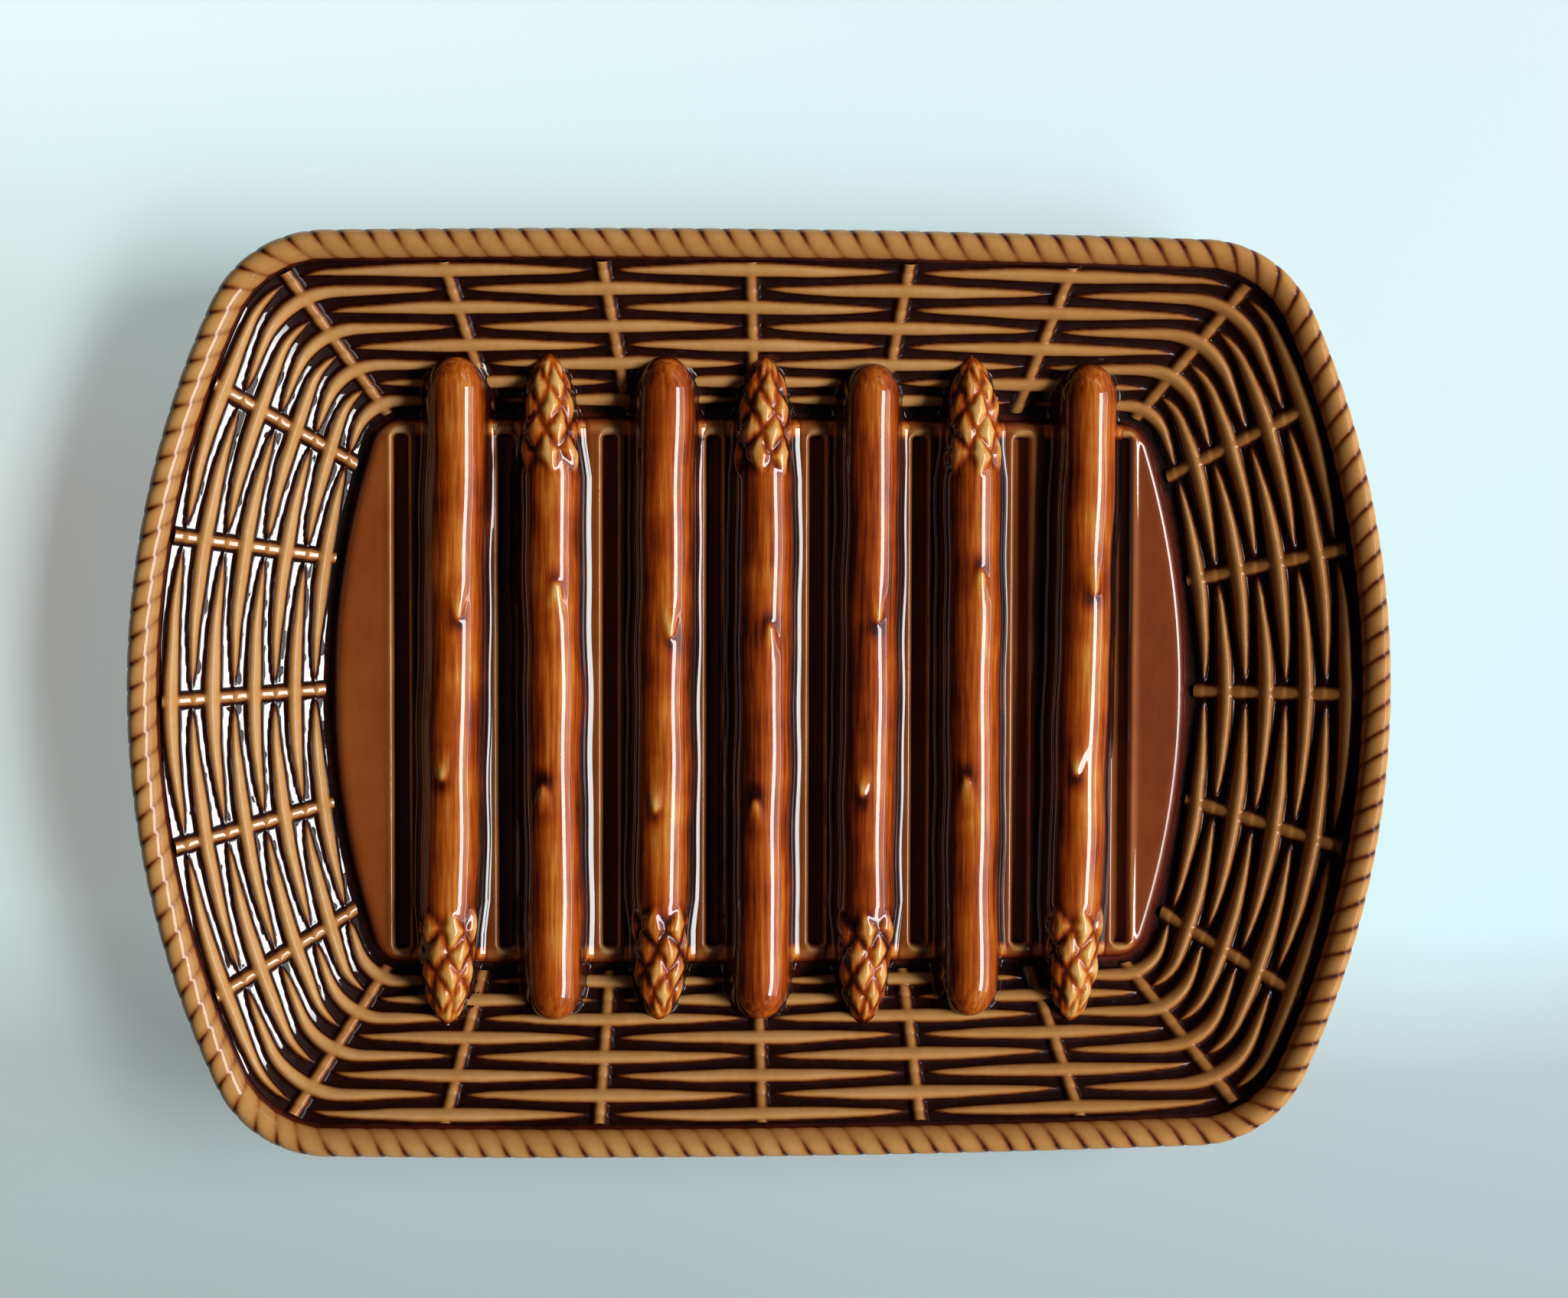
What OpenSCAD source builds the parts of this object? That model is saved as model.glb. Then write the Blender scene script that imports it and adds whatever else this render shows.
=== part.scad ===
// Oval serving plate for asparagus: a glazed earthenware dish with a raised
// draining panel, seven moulded spears, a basket-weave wall and a rope edge.
// X runs along the plate, Y along the spears, Z up from the table.

/* [Plate] */

// Overall length of the plate, rope edge included
plate_l = 380; // [320:1:440]
// Overall width of the plate, rope edge included
plate_w = 279; // [240:1:320]
// Overall height, from the table to the top of the rope edge
plate_h = 38.5; // [32:0.5:50]
// How far each short side of the rim bows outwards
rim_side_bow = 37.3; // [25:0.1:45]
// How far each long side of the rim bows outwards
rim_long_bow = 3.5; // [2:0.1:8]
// Corner radius of the rim
rim_corner_r = 37; // [28:0.5:48]

/* [Shell] */

// Thickness of the flared wall, square to its face
wall_t = 5; // [4:0.1:7]
// Thickness of the floor
floor_t = 4.5; // [3.5:0.1:6]
// Thickness of the lip under the rope edge
lip_t = 3.5; // [2.5:0.1:5]
// How far the lip stays inside the rope's outer side
lip_inset = 1; // [0.5:0.1:2]

/* [Foot] */

// Height of the foot ring
foot_h = 3; // [2:0.1:5]
// Width of the foot ring's bearing face
foot_w = 6; // [4:0.5:10]
// How far the foot ring stands in from the panel's edge
foot_inset = 5; // [2:0.5:12]

/* [Drainer panel] */

// Length of the raised panel
panel_l = 266; // [240:1:280]
// Width of the raised panel
panel_w = 170; // [150:1:184]
// Height of the raised panel above the floor
panel_h = 4; // [2.5:0.1:6]
// How far each short side of the panel bows outwards
panel_side_bow = 14.9; // [8:0.1:20]
// How far each long side of the panel bows outwards
panel_long_bow = 1.3; // [0.8:0.1:3]
// Corner radius of the panel
panel_corner_r = 10.7; // [7:0.1:14]
// Width of the groove between the panel and the wall
groove_w = 3; // [2:0.1:5]
// Width of a draining slot
slot_w = 4; // [3:0.1:6]
// Corner radius of a draining slot's ends
slot_corner_r = 1; // [0.5:0.1:1.5]
// Solid edge left between a draining slot's end and the panel's long side
slot_margin = 6; // [4:0.5:20]

/* [Spears] */

// Thickness of a spear
spear_d = 18.5; // [15:0.1:22]
// How far each end of a spear runs past the panel, up on the weave
spear_reach = 17.5; // [10:0.5:20]
// Distance from the middle of an outer draining slot to the end of the panel
end_margin = 21; // [18:0.5:30]
// How deep the round of a spear is cut off flat where it lies on the panel
spear_sink = 5.5; // [3:0.1:7]
// Length of the scaly head of a spear
head_l = 40; // [28:1:50]
// How far one ring of scales stands over the next
scale_step = 0.9; // [0.4:0.1:1.5]
// Length of a leaf scale on the stalk
bract_l = 17; // [10:0.5:24]
// Height of a leaf scale on the stalk
bract_h = 1.1; // [0.5:0.1:1.8]

/* [Weave] */

// Width of a strand over its stake
strand_w = 4.2; // [3:0.1:5]
// Width of a strand at its ends
strand_end_w = 1.2; // [0.8:0.1:2.5]
// Height of a strand over its stake
strand_h = 3.2; // [2.8:0.1:4]
// Height of a strand at its ends
strand_end_h = 1; // [0.6:0.1:1.6]
// Gap between a strand's end and the side of the next stake
strand_gap = 2; // [0.5:0.1:4]
// Width of a stake
stake_w = 4.6; // [3.6:0.1:6]
// Width of a stake's flat top
stake_top_w = 2.6; // [1.6:0.1:3.4]
// Height of a stake
stake_h = 1.9; // [1.2:0.1:2.4]
// How far the stakes stay clear of the wall's two edges
stake_clear = 1; // [0.5:0.1:3]

/* [Rope edge] */

// Thickness of the rope edge
rope_d = 8.5; // [6:0.1:12]
// Depth of the twist grooves
rope_groove = 0.8; // [0.4:0.1:1.4]
// Length of one full turn of the twist
rope_lead = 27.6; // [20:0.1:36]
// How much of the rope is pressed flat on the lip
rope_seat = 0.6; // [0.3:0.1:1.2]
// Gap between the rope and the top of the wall
rope_gap = 0.5; // [0.2:0.1:1.5]

/* [Hidden] */

rows = 8;
// facets between two stakes
fine = 6;
// lobes of the rope and rings in one turn of it
lobes = 4;
turn_rings = 9;

// places of the stakes round the rim and round the panel, counted in stake
// spaces from the middle of the right side, as the potter spaced them by eye
stake_rim_shares = [0, 0.97, 1.94, 2.86, 4.03, 5.09, 6.12, 7.08, 8.09, 9.1, 9.97, 10.97,
    12.04, 12.98, 13.98, 14.92, 15.9, 16.9, 17.96, 19, 20.06, 21.1, 21.95, 22.98];
stake_foot_shares = [0, 1.01, 1.98, 2.62, 3.72, 4.94, 6.1, 7.24, 8.46, 9.38, 9.94, 10.8,
    11.98, 13, 13.98, 14.6, 15.46, 16.6, 17.94, 19.26, 20.44, 21.32, 21.94, 23];
stakes = len(stake_rim_shares);

// which way each spear's tip points, then its lean and its shift along Y
tip_way = [-1, 1, -1, 1, -1, 1, -1];
spear_lean_shares = [0.05, -0.02, 0.03, 0.02, 0.03, 0, 0.07];
spear_side_shares = [-0.01, -0.06, 0, -0.04, -0.02, -0.02, 0.05];
spear_shift_shares = [0, 0.008, 0.002, 0.006, -0.006, 0.008, -0.004];
// [share of the spear's length from the butt, share of its radius]
stalk_shares = [[0, 0.55], [0.01, 0.78], [0.03, 0.94], [0.055, 1], [0.3, 1], [0.6, 0.99]];
// [share of the head's length, radius share at the start of each ring of scales]
head_shares = [[0, 1], [0.2, 1.03], [0.4, 1], [0.6, 0.9], [0.78, 0.74], [0.92, 0.56]];
head_end_share = 0.42;
// at the ends, where the weave rises, at least this share of a spear's radius
// stands over the bed
proud_share = 0.45;
// where the two leaf scales of each stalk start, as shares of its length
bract_shares = [[0.3, 0.55], [0.27, 0.58], [0.33, 0.6], [0.25, 0.52],
    [0.31, 0.57], [0.28, 0.6], [0.26, 0.54]];
// [share along a leaf scale, share of its height on its middle and beside it]
bract_form_shares = [[0, 0, 0], [0.06, 1, 0.7], [0.6, 0.8, 0.2], [1, 0, 0]];
spear_sides = 8;

// [share of half a strand's width, share of its height]
bulge_shares = [[-1, 0], [-0.68, 0.72], [0, 1], [0.68, 0.72], [1, 0]];

spear_l = panel_w + 2 * spear_reach;
slot_l = panel_w - 2 * slot_margin;
// one spear lies between every two slots
spear_pitch = (panel_l - 2 * end_margin) / len(tip_way);
floor_z = foot_h + floor_t;
panel_z = floor_z + panel_h;
lip_z = plate_h - rope_d + rope_seat;
wall_inset = rope_d + rope_gap;
rope_z = plate_h - rope_d / 2;
spear_z = panel_z + spear_d / 2 - spear_sink;

rim = arcs(plate_l / 2, plate_w / 2, rim_side_bow, rim_long_bow, rim_corner_r);
panel = arcs(panel_l / 2, panel_w / 2, panel_side_bow, panel_long_bow, panel_corner_r);

// slope of the wall, measured at the middle of the long side
wall_run = (plate_w / 2 - wall_inset) - (panel_w / 2 + groove_w);
wall_slope = atan2(lip_z - floor_z, wall_run);
under_out = wall_t * sin(wall_slope);
under_drop = wall_t * cos(wall_slope);

// A four-arc outline from its half length, half width, two bows and corner
// radius: [side centre, side radius, long centre, long radius, corner
// centre, corner radius, angle where the side ends, angle where the corner ends]
function arcs(a, b, side, long, r) =
    let (rs = (b * b + side * side) / (2 * side), rl = (a * a + long * long) / (2 * long),
         cs = [a - rs, 0], cl = [0, b - rl], way = cl - cs, d = norm(way), e = way / d,
         p = rs - r, q = rl - r, along = (p * p - q * q + d * d) / (2 * d),
         c = cs + along * e + sqrt(p * p - along * along) * [-e[1], e[0]])
    [cs, rs, cl, rl, c, r, atan2(c[1] - cs[1], c[0] - cs[0]), atan2(c[1] - cl[1], c[0] - cl[0])];

function polar(c, r, g) = [c[0] + r * cos(g), c[1] + r * sin(g), cos(g), sin(g)];

// a point of the first quarter of an outline moved in by d, at a share of the
// quarter's length, with its outward direction
function quarter_at(m, d, share) =
    let (one = (m[1] - d) * m[6], two = (m[5] - d) * (m[7] - m[6]), three = (m[3] - d) * (90 - m[7]),
         go = share * (one + two + three))
    go < one ? polar(m[0], m[1] - d, m[6] * go / one)
    : go < one + two ? polar(m[4], m[5] - d, m[6] + (m[7] - m[6]) * (go - one) / two)
    : polar(m[2], m[3] - d, m[7] + (90 - m[7]) * (go - one - two) / three);

// the same all the way round, by a share of the whole outline
function ring_at(m, d, share) =
    let (turn = share - floor(share), q = floor(turn * 4), v = turn * 4 - q,
         p = quarter_at(m, d, q % 2 == 0 ? v : 1 - v),
         sx = q == 1 || q == 2 ? -1 : 1, sy = q > 1 ? -1 : 1)
    [p[0] * sx, p[1] * sy, p[2] * sx, p[3] * sy];

function around(m, d) = 4 * PI / 180
    * ((m[1] - d) * m[6] + (m[5] - d) * (m[7] - m[6]) + (m[3] - d) * (90 - m[7]));

function wrap(k, n) = ((k % n) + n) % n;
function mix(a, b, f) = a * (1 - f) + b * f;
function unit(v) = v / norm(v);

// share of the way round for stake number k, whole or in between
function spot(list, k) =
    let (low = floor(k), f = k - low, n = len(list))
    mix(list[wrap(low, n)] + n * floor(low / n), list[wrap(low + 1, n)] + n * floor((low + 1) / n), f) / n;

// corner j of the faceted wall, at share t of the way up its slope
function wall_corner(j, t) =
    let (k = j / fine,
         foot = ring_at(panel, -groove_w, spot(stake_foot_shares, k)),
         top = ring_at(rim, wall_inset, spot(stake_rim_shares, k)))
    [mix(foot[0], top[0], t), mix(foot[1], top[1], t), mix(floor_z, lip_z, t)];

function wall_at(k, t) =
    let (j = floor(k * fine), f = k * fine - j)
    mix(wall_corner(j, t), wall_corner(j + 1, t), f);

function wall_up(k) = wall_at(k, 1) - wall_at(k, 0);
function wall_along(k, t) = wall_at(k + 1 / 2, t) - wall_at(k - 1 / 2, t);
function wall_out(k) = unit(cross(wall_up(k), wall_at(k + 1 / fine, 1 / 2) - wall_at(k - 1 / fine, 1 / 2)));

// half a stake's width, in stake spaces
function stake_half(k, t) = stake_w / 2 / norm(wall_along(k, t));

// where a strand stops short of the next stake, in half widths of that stake
end_reach = 1 + 2 * strand_gap / stake_w;

// one cross-section of the strand of a row over stake k, at u stake spaces
function strand_section(row, k, u, lift) =
    let (t = 1 - (row - 1 / 2) / rows, fat = cos(90 * u),
         half = mix(strand_end_w, strand_w, fat) / 2 / norm(wall_up(k + u)),
         high = mix(strand_end_h, strand_h, fat))
    [for (b = bulge_shares)
        wall_at(k + u, t + b[0] * half) + wall_out(k + u) * mix(lift, high, b[1])];

// places of a strand's sections, as shares from its end to its arch
end_shares = [0, 0.5, 1];
corner_end_shares = [0, 0.25, 0.5, 0.75, 1];
corner_stakes = [3, 9, 15, 21];

module strand(row, k) {
    t = 1 - (row - 1 / 2) / rows;
    arch = stake_half(k, t);
    low = 1 - stake_half(k - 1, t) * end_reach;
    high = 1 - stake_half(k + 1, t) * end_reach;
    steps = len(search(k, corner_stakes)) > 0 ? corner_end_shares : end_shares;
    last = len(steps) - 1;
    lifts = [for (n = [0 : last]) n == last ? stake_h : 0];
    loft(concat(
        [for (n = [0 : last]) strand_section(row, k, -mix(low, arch, steps[n]), lifts[n])],
        [for (n = [last : -1 : 0]) strand_section(row, k, mix(high, arch, steps[n]), lifts[n])]));
}

// A solid skinned over a list of sections that have equally many points.
module loft(sections, closed = false) {
    n = len(sections[0]);
    m = len(sections);
    sides = [for (i = [0 : closed ? m - 1 : m - 2], j = [0 : n - 1])
        let (a = i * n + j, b = i * n + (j + 1) % n, up = (i + 1) % m,
             c = up * n + (j + 1) % n, d = up * n + j)
        each [[a, b, c], [a, c, d]]];
    ends = closed ? [] : [for (j = [1 : n - 2])
        each [[0, j + 1, j], [(m - 1) * n, (m - 1) * n + j, (m - 1) * n + j + 1]]];
    polyhedron(points = [for (s = sections) each s], faces = concat(sides, ends));
}

function shell_ring(m, d, shares, z) =
    [for (j = [0 : stakes * fine - 1]) let (p = ring_at(m, d, spot(shares, j / fine))) [p[0], p[1], z]];

module dish_shell() {
    color("#7a3c14")
    loft([
        shell_ring(panel, -groove_w - under_out, stake_foot_shares, foot_h),
        shell_ring(rim, wall_inset - under_out, stake_rim_shares, lip_z - under_drop),
        shell_ring(rim, lip_inset, stake_rim_shares, lip_z - lip_t),
        shell_ring(rim, lip_inset, stake_rim_shares, lip_z),
        shell_ring(rim, wall_inset, stake_rim_shares, lip_z),
        shell_ring(panel, -groove_w, stake_foot_shares, floor_z)]);
}

// an outline moved in by d, as a flat shape
module outline(m, d) {
    count = stakes * fine;
    polygon([for (j = [0 : count - 1]) let (p = ring_at(m, d, j / count)) [p[0], p[1]]]);
}

module foot_ring() {
    color("#d9c2a0")
    linear_extrude(foot_h)
    difference() {
        outline(panel, foot_inset);
        outline(panel, foot_inset + foot_w);
    }
}

module drainer_panel() {
    color("#9a4a12")
    translate([0, 0, floor_z])
    linear_extrude(panel_h)
    difference() {
        outline(panel, 0);
        for (j = [0 : len(tip_way)])
            translate([(j - len(tip_way) / 2) * spear_pitch, 0])
                slot();
    }
}

module slot() {
    side = slot_w - 2 * slot_corner_r;
    long = slot_l - 2 * slot_corner_r;
    square([slot_w, long], center = true);
    square([side, slot_l], center = true);
    for (x = [-side / 2, side / 2], y = [-long / 2, long / 2])
        translate([x, y])
            circle(slot_corner_r, $fn = 24);
}

// height that a spear lies on: the panel, then the crests of the weave
function bed_z(x, y) =
    let (foot = panel_w / 2 + groove_w - panel_long_bow * pow(2 * x / panel_l, 2),
         top = plate_w / 2 - wall_inset - rim_long_bow * pow(2 * x / plate_l, 2),
         t = (abs(y) - foot) / (top - foot))
    max(panel_z, mix(floor_z, lip_z, t) + strand_h / cos(wall_slope));

// one cross-section of spear i, go along it from the butt, of radius r;
// zig sets every other point back along the spear, and rises lifts points
function spear_section(i, go, r, zig, rises) =
    let (y = tip_way[i] * (go - spear_l / 2) + spear_shift_shares[i] * spear_l,
         x = (i - (len(tip_way) - 1) / 2 + spear_side_shares[i] + spear_lean_shares[i] * 2 * y / spear_l)
             * spear_pitch,
         bed = bed_z(x, y), axis_z = max(spear_z, bed - proud_share * r),
         from = asin((bed - axis_z) / r))
    [for (j = [0 : spear_sides])
        let (g = mix(from, 180 - from, j / spear_sides), inner = j > 0 && j < spear_sides,
             rr = r + (inner ? rises[j] : 0))
        [x + tip_way[i] * rr * cos(g), y - (inner ? zig * (j % 2) * tip_way[i] : 0), axis_z + rr * sin(g)]];

no_rises = [for (j = [0 : spear_sides]) 0];
function leaf_rises(at, mid, side) =
    [for (j = [0 : spear_sides]) j == at ? mid * bract_h : abs(j - at) == 1 ? side * bract_h : 0];

module spear(i) {
    r = spear_d / 2;
    stalk_l = spear_l - head_l;
    step = head_l / len(head_shares);
    stalk = [for (s = stalk_shares) if (s[0] < bract_shares[i][0])
        spear_section(i, s[0] * spear_l, s[1] * r, 0, no_rises)];
    leaves = [for (n = [0, 1], f = bract_form_shares)
        spear_section(i, bract_shares[i][n] * spear_l + f[0] * bract_l, r, 0,
            leaf_rises(spear_sides / 2 + 2 * n - 1, f[1], f[2]))];
    head = [for (n = [0 : len(head_shares) - 1])
        let (s = head_shares[n], go = stalk_l + s[0] * head_l)
        each [spear_section(i, go, s[1] * r, n == 0 ? 0 : step / 2, no_rises),
              spear_section(i, go + step / 6, s[1] * r - scale_step, n == 0 ? 0 : step / 2, no_rises)]];
    end = [spear_section(i, spear_l, head_end_share * r, 0, no_rises)];
    loft(concat(stalk, leaves, head, end));
}

module asparagus_spear_1() { color("#b0601c") spear(0); }
module asparagus_spear_2() { color("#b0601c") spear(1); }
module asparagus_spear_3() { color("#b0601c") spear(2); }
module asparagus_spear_4() { color("#b0601c") spear(3); }
module asparagus_spear_5() { color("#b0601c") spear(4); }
module asparagus_spear_6() { color("#b0601c") spear(5); }
module asparagus_spear_7() { color("#b0601c") spear(6); }

// strands of one row, over every other stake
module weave(row) {
    for (k = [(row + 1) % 2 : 2 : stakes - 1])
        strand(row, k);
}

module weave_row_1() { color("#c08a45") weave(1); }
module weave_row_2() { color("#c08a45") weave(2); }
module weave_row_3() { color("#c08a45") weave(3); }
module weave_row_4() { color("#c08a45") weave(4); }
module weave_row_5() { color("#c08a45") weave(5); }
module weave_row_6() { color("#c08a45") weave(6); }
module weave_row_7() { color("#c08a45") weave(7); }
module weave_row_8() { color("#c08a45") weave(8); }

// one end section of stake k, at share t of the way up the wall
function stake_section(k, t) =
    let (half = stake_half(k, t), top = half * stake_top_w / stake_w, n = wall_out(k) * stake_h)
    [wall_at(k - half, t), wall_at(k - top, t) + n, wall_at(k + top, t) + n, wall_at(k + half, t)];

module wall_stakes() {
    color("#a86f34")
    for (k = [0 : stakes - 1]) {
        clear = stake_clear / norm(wall_up(k));
        loft([for (n = [0 : rows]) stake_section(k, mix(clear, 1 - clear, n / rows))]);
    }
}

module rope_edge() {
    turns = lobes * round(around(rim, rope_d / 2) / rope_lead / lobes);
    rings = turns * turn_rings;
    color("#c08a45")
    loft([for (i = [0 : rings - 1])
        let (p = ring_at(rim, rope_d / 2, i / rings))
        [for (j = [0 : 2 * lobes - 1])
            let (g = -360 * turns * i / rings + 180 * j / lobes,
                 r = rope_d / 2 - (j % 2) * rope_groove)
            [p[0] + p[2] * r * cos(g), p[1] + p[3] * r * cos(g), max(rope_z + r * sin(g), lip_z)]]],
        closed = true);
}

dish_shell();
foot_ring();
drainer_panel();
rope_edge();
wall_stakes();
asparagus_spear_1();
asparagus_spear_2();
asparagus_spear_3();
asparagus_spear_4();
asparagus_spear_5();
asparagus_spear_6();
asparagus_spear_7();
weave_row_1();
weave_row_2();
weave_row_3();
weave_row_4();
weave_row_5();
weave_row_6();
weave_row_7();
weave_row_8();
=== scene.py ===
# %% [markdown]
# # A majolica asparagus plate
# The real plate is one piece of earthenware: a shallow dish whose wall is
# pressed with a basket weave, a draining panel with slots, seven moulded
# asparagus spears and a rope along the rim. Everything is under one thick,
# glossy, honey-coloured glaze, which is thin on what stands up and nearly
# black where it pools.
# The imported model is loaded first. It is the measured frame that every
# finished piece has to fit, so nothing here changes a size.

# %% Load the frame
import math

import bpy
import mathutils
import numpy as np
from mathutils.bvhtree import BVHTree
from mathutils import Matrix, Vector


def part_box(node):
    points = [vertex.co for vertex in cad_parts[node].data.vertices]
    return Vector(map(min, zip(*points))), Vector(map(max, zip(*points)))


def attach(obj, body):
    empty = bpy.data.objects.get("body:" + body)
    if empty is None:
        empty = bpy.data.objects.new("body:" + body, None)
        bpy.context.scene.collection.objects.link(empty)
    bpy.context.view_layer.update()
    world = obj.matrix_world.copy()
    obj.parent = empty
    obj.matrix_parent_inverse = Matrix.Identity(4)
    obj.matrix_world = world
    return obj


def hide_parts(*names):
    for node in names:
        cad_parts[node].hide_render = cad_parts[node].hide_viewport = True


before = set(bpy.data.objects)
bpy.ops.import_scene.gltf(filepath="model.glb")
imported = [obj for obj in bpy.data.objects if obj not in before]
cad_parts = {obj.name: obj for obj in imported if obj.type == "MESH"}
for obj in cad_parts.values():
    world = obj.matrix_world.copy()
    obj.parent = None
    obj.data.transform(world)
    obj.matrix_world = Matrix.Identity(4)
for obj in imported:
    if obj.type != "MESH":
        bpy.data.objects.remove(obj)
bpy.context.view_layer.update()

print("nodes:", len(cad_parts))

# %% [markdown]
# ## Sizes
# A potter would give these sizes in millimetres, so they are written that
# way and turned into metres once. The overall length, width and height come
# from the frame itself; the rest repeats the plate's own drawing.

# %% Sizes of the plate
MM = 0.001
rope_low, rope_high = (np.array(corner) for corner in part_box("rope_edge"))
half_l = (rope_high[0] - rope_low[0]) / 2
half_w = (rope_high[1] - rope_low[1]) / 2
plate_h = rope_high[2]

rope_d = 8.5 * MM
rope_gap = 0.5 * MM
rope_seat = 0.6 * MM
wall_inset = rope_d + rope_gap
groove_w = 3 * MM
foot_h = 3 * MM
foot_w = 6 * MM
foot_inset = 5 * MM
wall_t = 5 * MM
lip_t = 3.5 * MM
floor_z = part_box("drainer_panel")[0][2]
panel_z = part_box("drainer_panel")[1][2]
lip_z = plate_h - rope_d + rope_seat
print("plate:", (np.array([2 * half_l, 2 * half_w, plate_h]) / MM).round(1), "mm")
print("floor, panel and lip at", [round(z / MM, 2) for z in (floor_z, panel_z, lip_z)], "mm")

# %% [markdown]
# ## The outline
# The rim and the panel are both drawn with four arcs and round corners, the
# way an oval template is struck with compasses. A circle scaled into an oval
# would be wrong: the short sides of this plate bow out and the long sides are
# almost straight. The class below gives any point of such an outline by its
# share of the way round, and how far inside the outline a point lies.


# %% A four-arc outline
class Outline:
    """Four arcs with rounded corners, symmetric about both axes."""

    def __init__(self, half_l, half_w, side_bow, long_bow, corner_r):
        self.half_l = half_l
        self.half_w = half_w
        self.long_bow = long_bow
        self.corner_r = corner_r
        self.side_r = (half_w**2 + side_bow**2) / (2 * side_bow)
        self.long_r = (half_l**2 + long_bow**2) / (2 * long_bow)
        self.side_c = np.array([half_l - self.side_r, 0.0])
        self.long_c = np.array([0.0, half_w - self.long_r])
        way = self.long_c - self.side_c
        gap = np.hypot(*way)
        way = way / gap
        near, far = self.side_r - corner_r, self.long_r - corner_r
        along = (near**2 - far**2 + gap**2) / (2 * gap)
        across = math.sqrt(near**2 - along**2)
        self.corner_c = self.side_c + along * way + across * np.array([-way[1], way[0]])
        self.side_end = math.atan2(*(self.corner_c - self.side_c)[::-1])
        self.corner_end = math.atan2(*(self.corner_c - self.long_c)[::-1])

    def lengths(self, inset):
        """Lengths of the side, corner and long arcs of one quarter."""
        return np.array([(self.side_r - inset) * self.side_end,
                         (self.corner_r - inset) * (self.corner_end - self.side_end),
                         (self.long_r - inset) * (math.pi / 2 - self.corner_end)])

    def at(self, share, inset):
        """Points and outward directions at shares of the whole outline."""
        turn = np.mod(share, 1.0) * 4
        quarter = np.floor(turn).astype(int) % 4
        inner = turn - np.floor(turn)
        inner = np.where(quarter % 2 == 0, inner, 1 - inner)
        one, two, three = self.lengths(inset)
        go = inner * (one + two + three)
        parts = [(go < one, self.side_c, self.side_r, go / (self.side_r - inset)),
                 ((go >= one) & (go < one + two), self.corner_c, self.corner_r,
                  self.side_end + (go - one) / (self.corner_r - inset)),
                 (go >= one + two, self.long_c, self.long_r,
                  self.corner_end + (go - one - two) / (self.long_r - inset))]
        point = np.zeros(go.shape + (2,))
        out = np.zeros(go.shape + (2,))
        for here, centre, radius, angle in parts:
            way = np.stack([np.cos(angle), np.sin(angle)], -1)
            point = np.where(here[..., None], centre + (radius - inset) * way, point)
            out = np.where(here[..., None], way, out)
        flip = np.stack([np.where((quarter == 1) | (quarter == 2), -1, 1),
                         np.where(quarter > 1, -1, 1)], -1)
        return point * flip, out * flip

    def depth(self, x, y):
        """How far inside the outline points lie, negative outside."""
        p = np.stack([np.abs(x), np.abs(y)], -1)
        from_corner = p - self.corner_c
        angle = np.arctan2(from_corner[..., 1], from_corner[..., 0])
        ahead = (from_corner[..., 0] > 0) | (from_corner[..., 1] > 0)
        at_corner = ahead & (angle > self.side_end) & (angle < self.corner_end)
        side = self.side_r - np.linalg.norm(p - self.side_c, axis=-1)
        long = self.long_r - np.linalg.norm(p - self.long_c, axis=-1)
        corner = self.corner_r - np.linalg.norm(from_corner, axis=-1)
        return np.where(at_corner, corner, np.minimum(side, long))


rim = Outline(half_l, half_w, side_bow=37.3 * MM, long_bow=3.5 * MM, corner_r=37 * MM)
panel = Outline(133 * MM, 85 * MM, side_bow=14.9 * MM, long_bow=1.3 * MM, corner_r=10.7 * MM)
rope_length = 4 * rim.lengths(rope_d / 2).sum()
print("rope runs", round(rope_length / MM), "mm round the rim")

# %% [markdown]
# ## Sums with sockets
# A long formula drawn as nodes is hard to read, so a small class wraps one
# output socket and lets Python's own signs add the Math nodes. The same
# class serves the Geometry Nodes trees and the glazes. Every other node
# comes from one method that takes its type, its settings and its values, and
# the few that are used again and again have a short method of their own.


# %% Wires and the desk they lie on
def tone(code):
    """A colour as read off a swatch, in the linear values Blender wants."""
    shades = [int(code[i:i + 2], 16) / 255 for i in (1, 3, 5)]
    return (*[s / 12.92 if s <= 0.04045 else ((s + 0.055) / 1.055) ** 2.4 for s in shades], 1.0)


def sign(operation, swapped=False):
    """A method that adds the Math node for one of Python's signs."""
    def method(self, other):
        pair = (other, self) if swapped else (self, other)
        return self.desk.maths(operation, *pair)
    return method


class Wire:
    """An output socket that can stand in a sum as a number does."""

    def __init__(self, desk, socket):
        self.desk = desk
        self.socket = socket

    def __abs__(self):
        return self.desk.maths("ABSOLUTE", self)

    __add__, __radd__ = sign("ADD"), sign("ADD", True)
    __sub__, __rsub__ = sign("SUBTRACT"), sign("SUBTRACT", True)
    __mul__, __rmul__ = sign("MULTIPLY"), sign("MULTIPLY", True)
    __truediv__, __pow__ = sign("DIVIDE"), sign("POWER")


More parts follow.
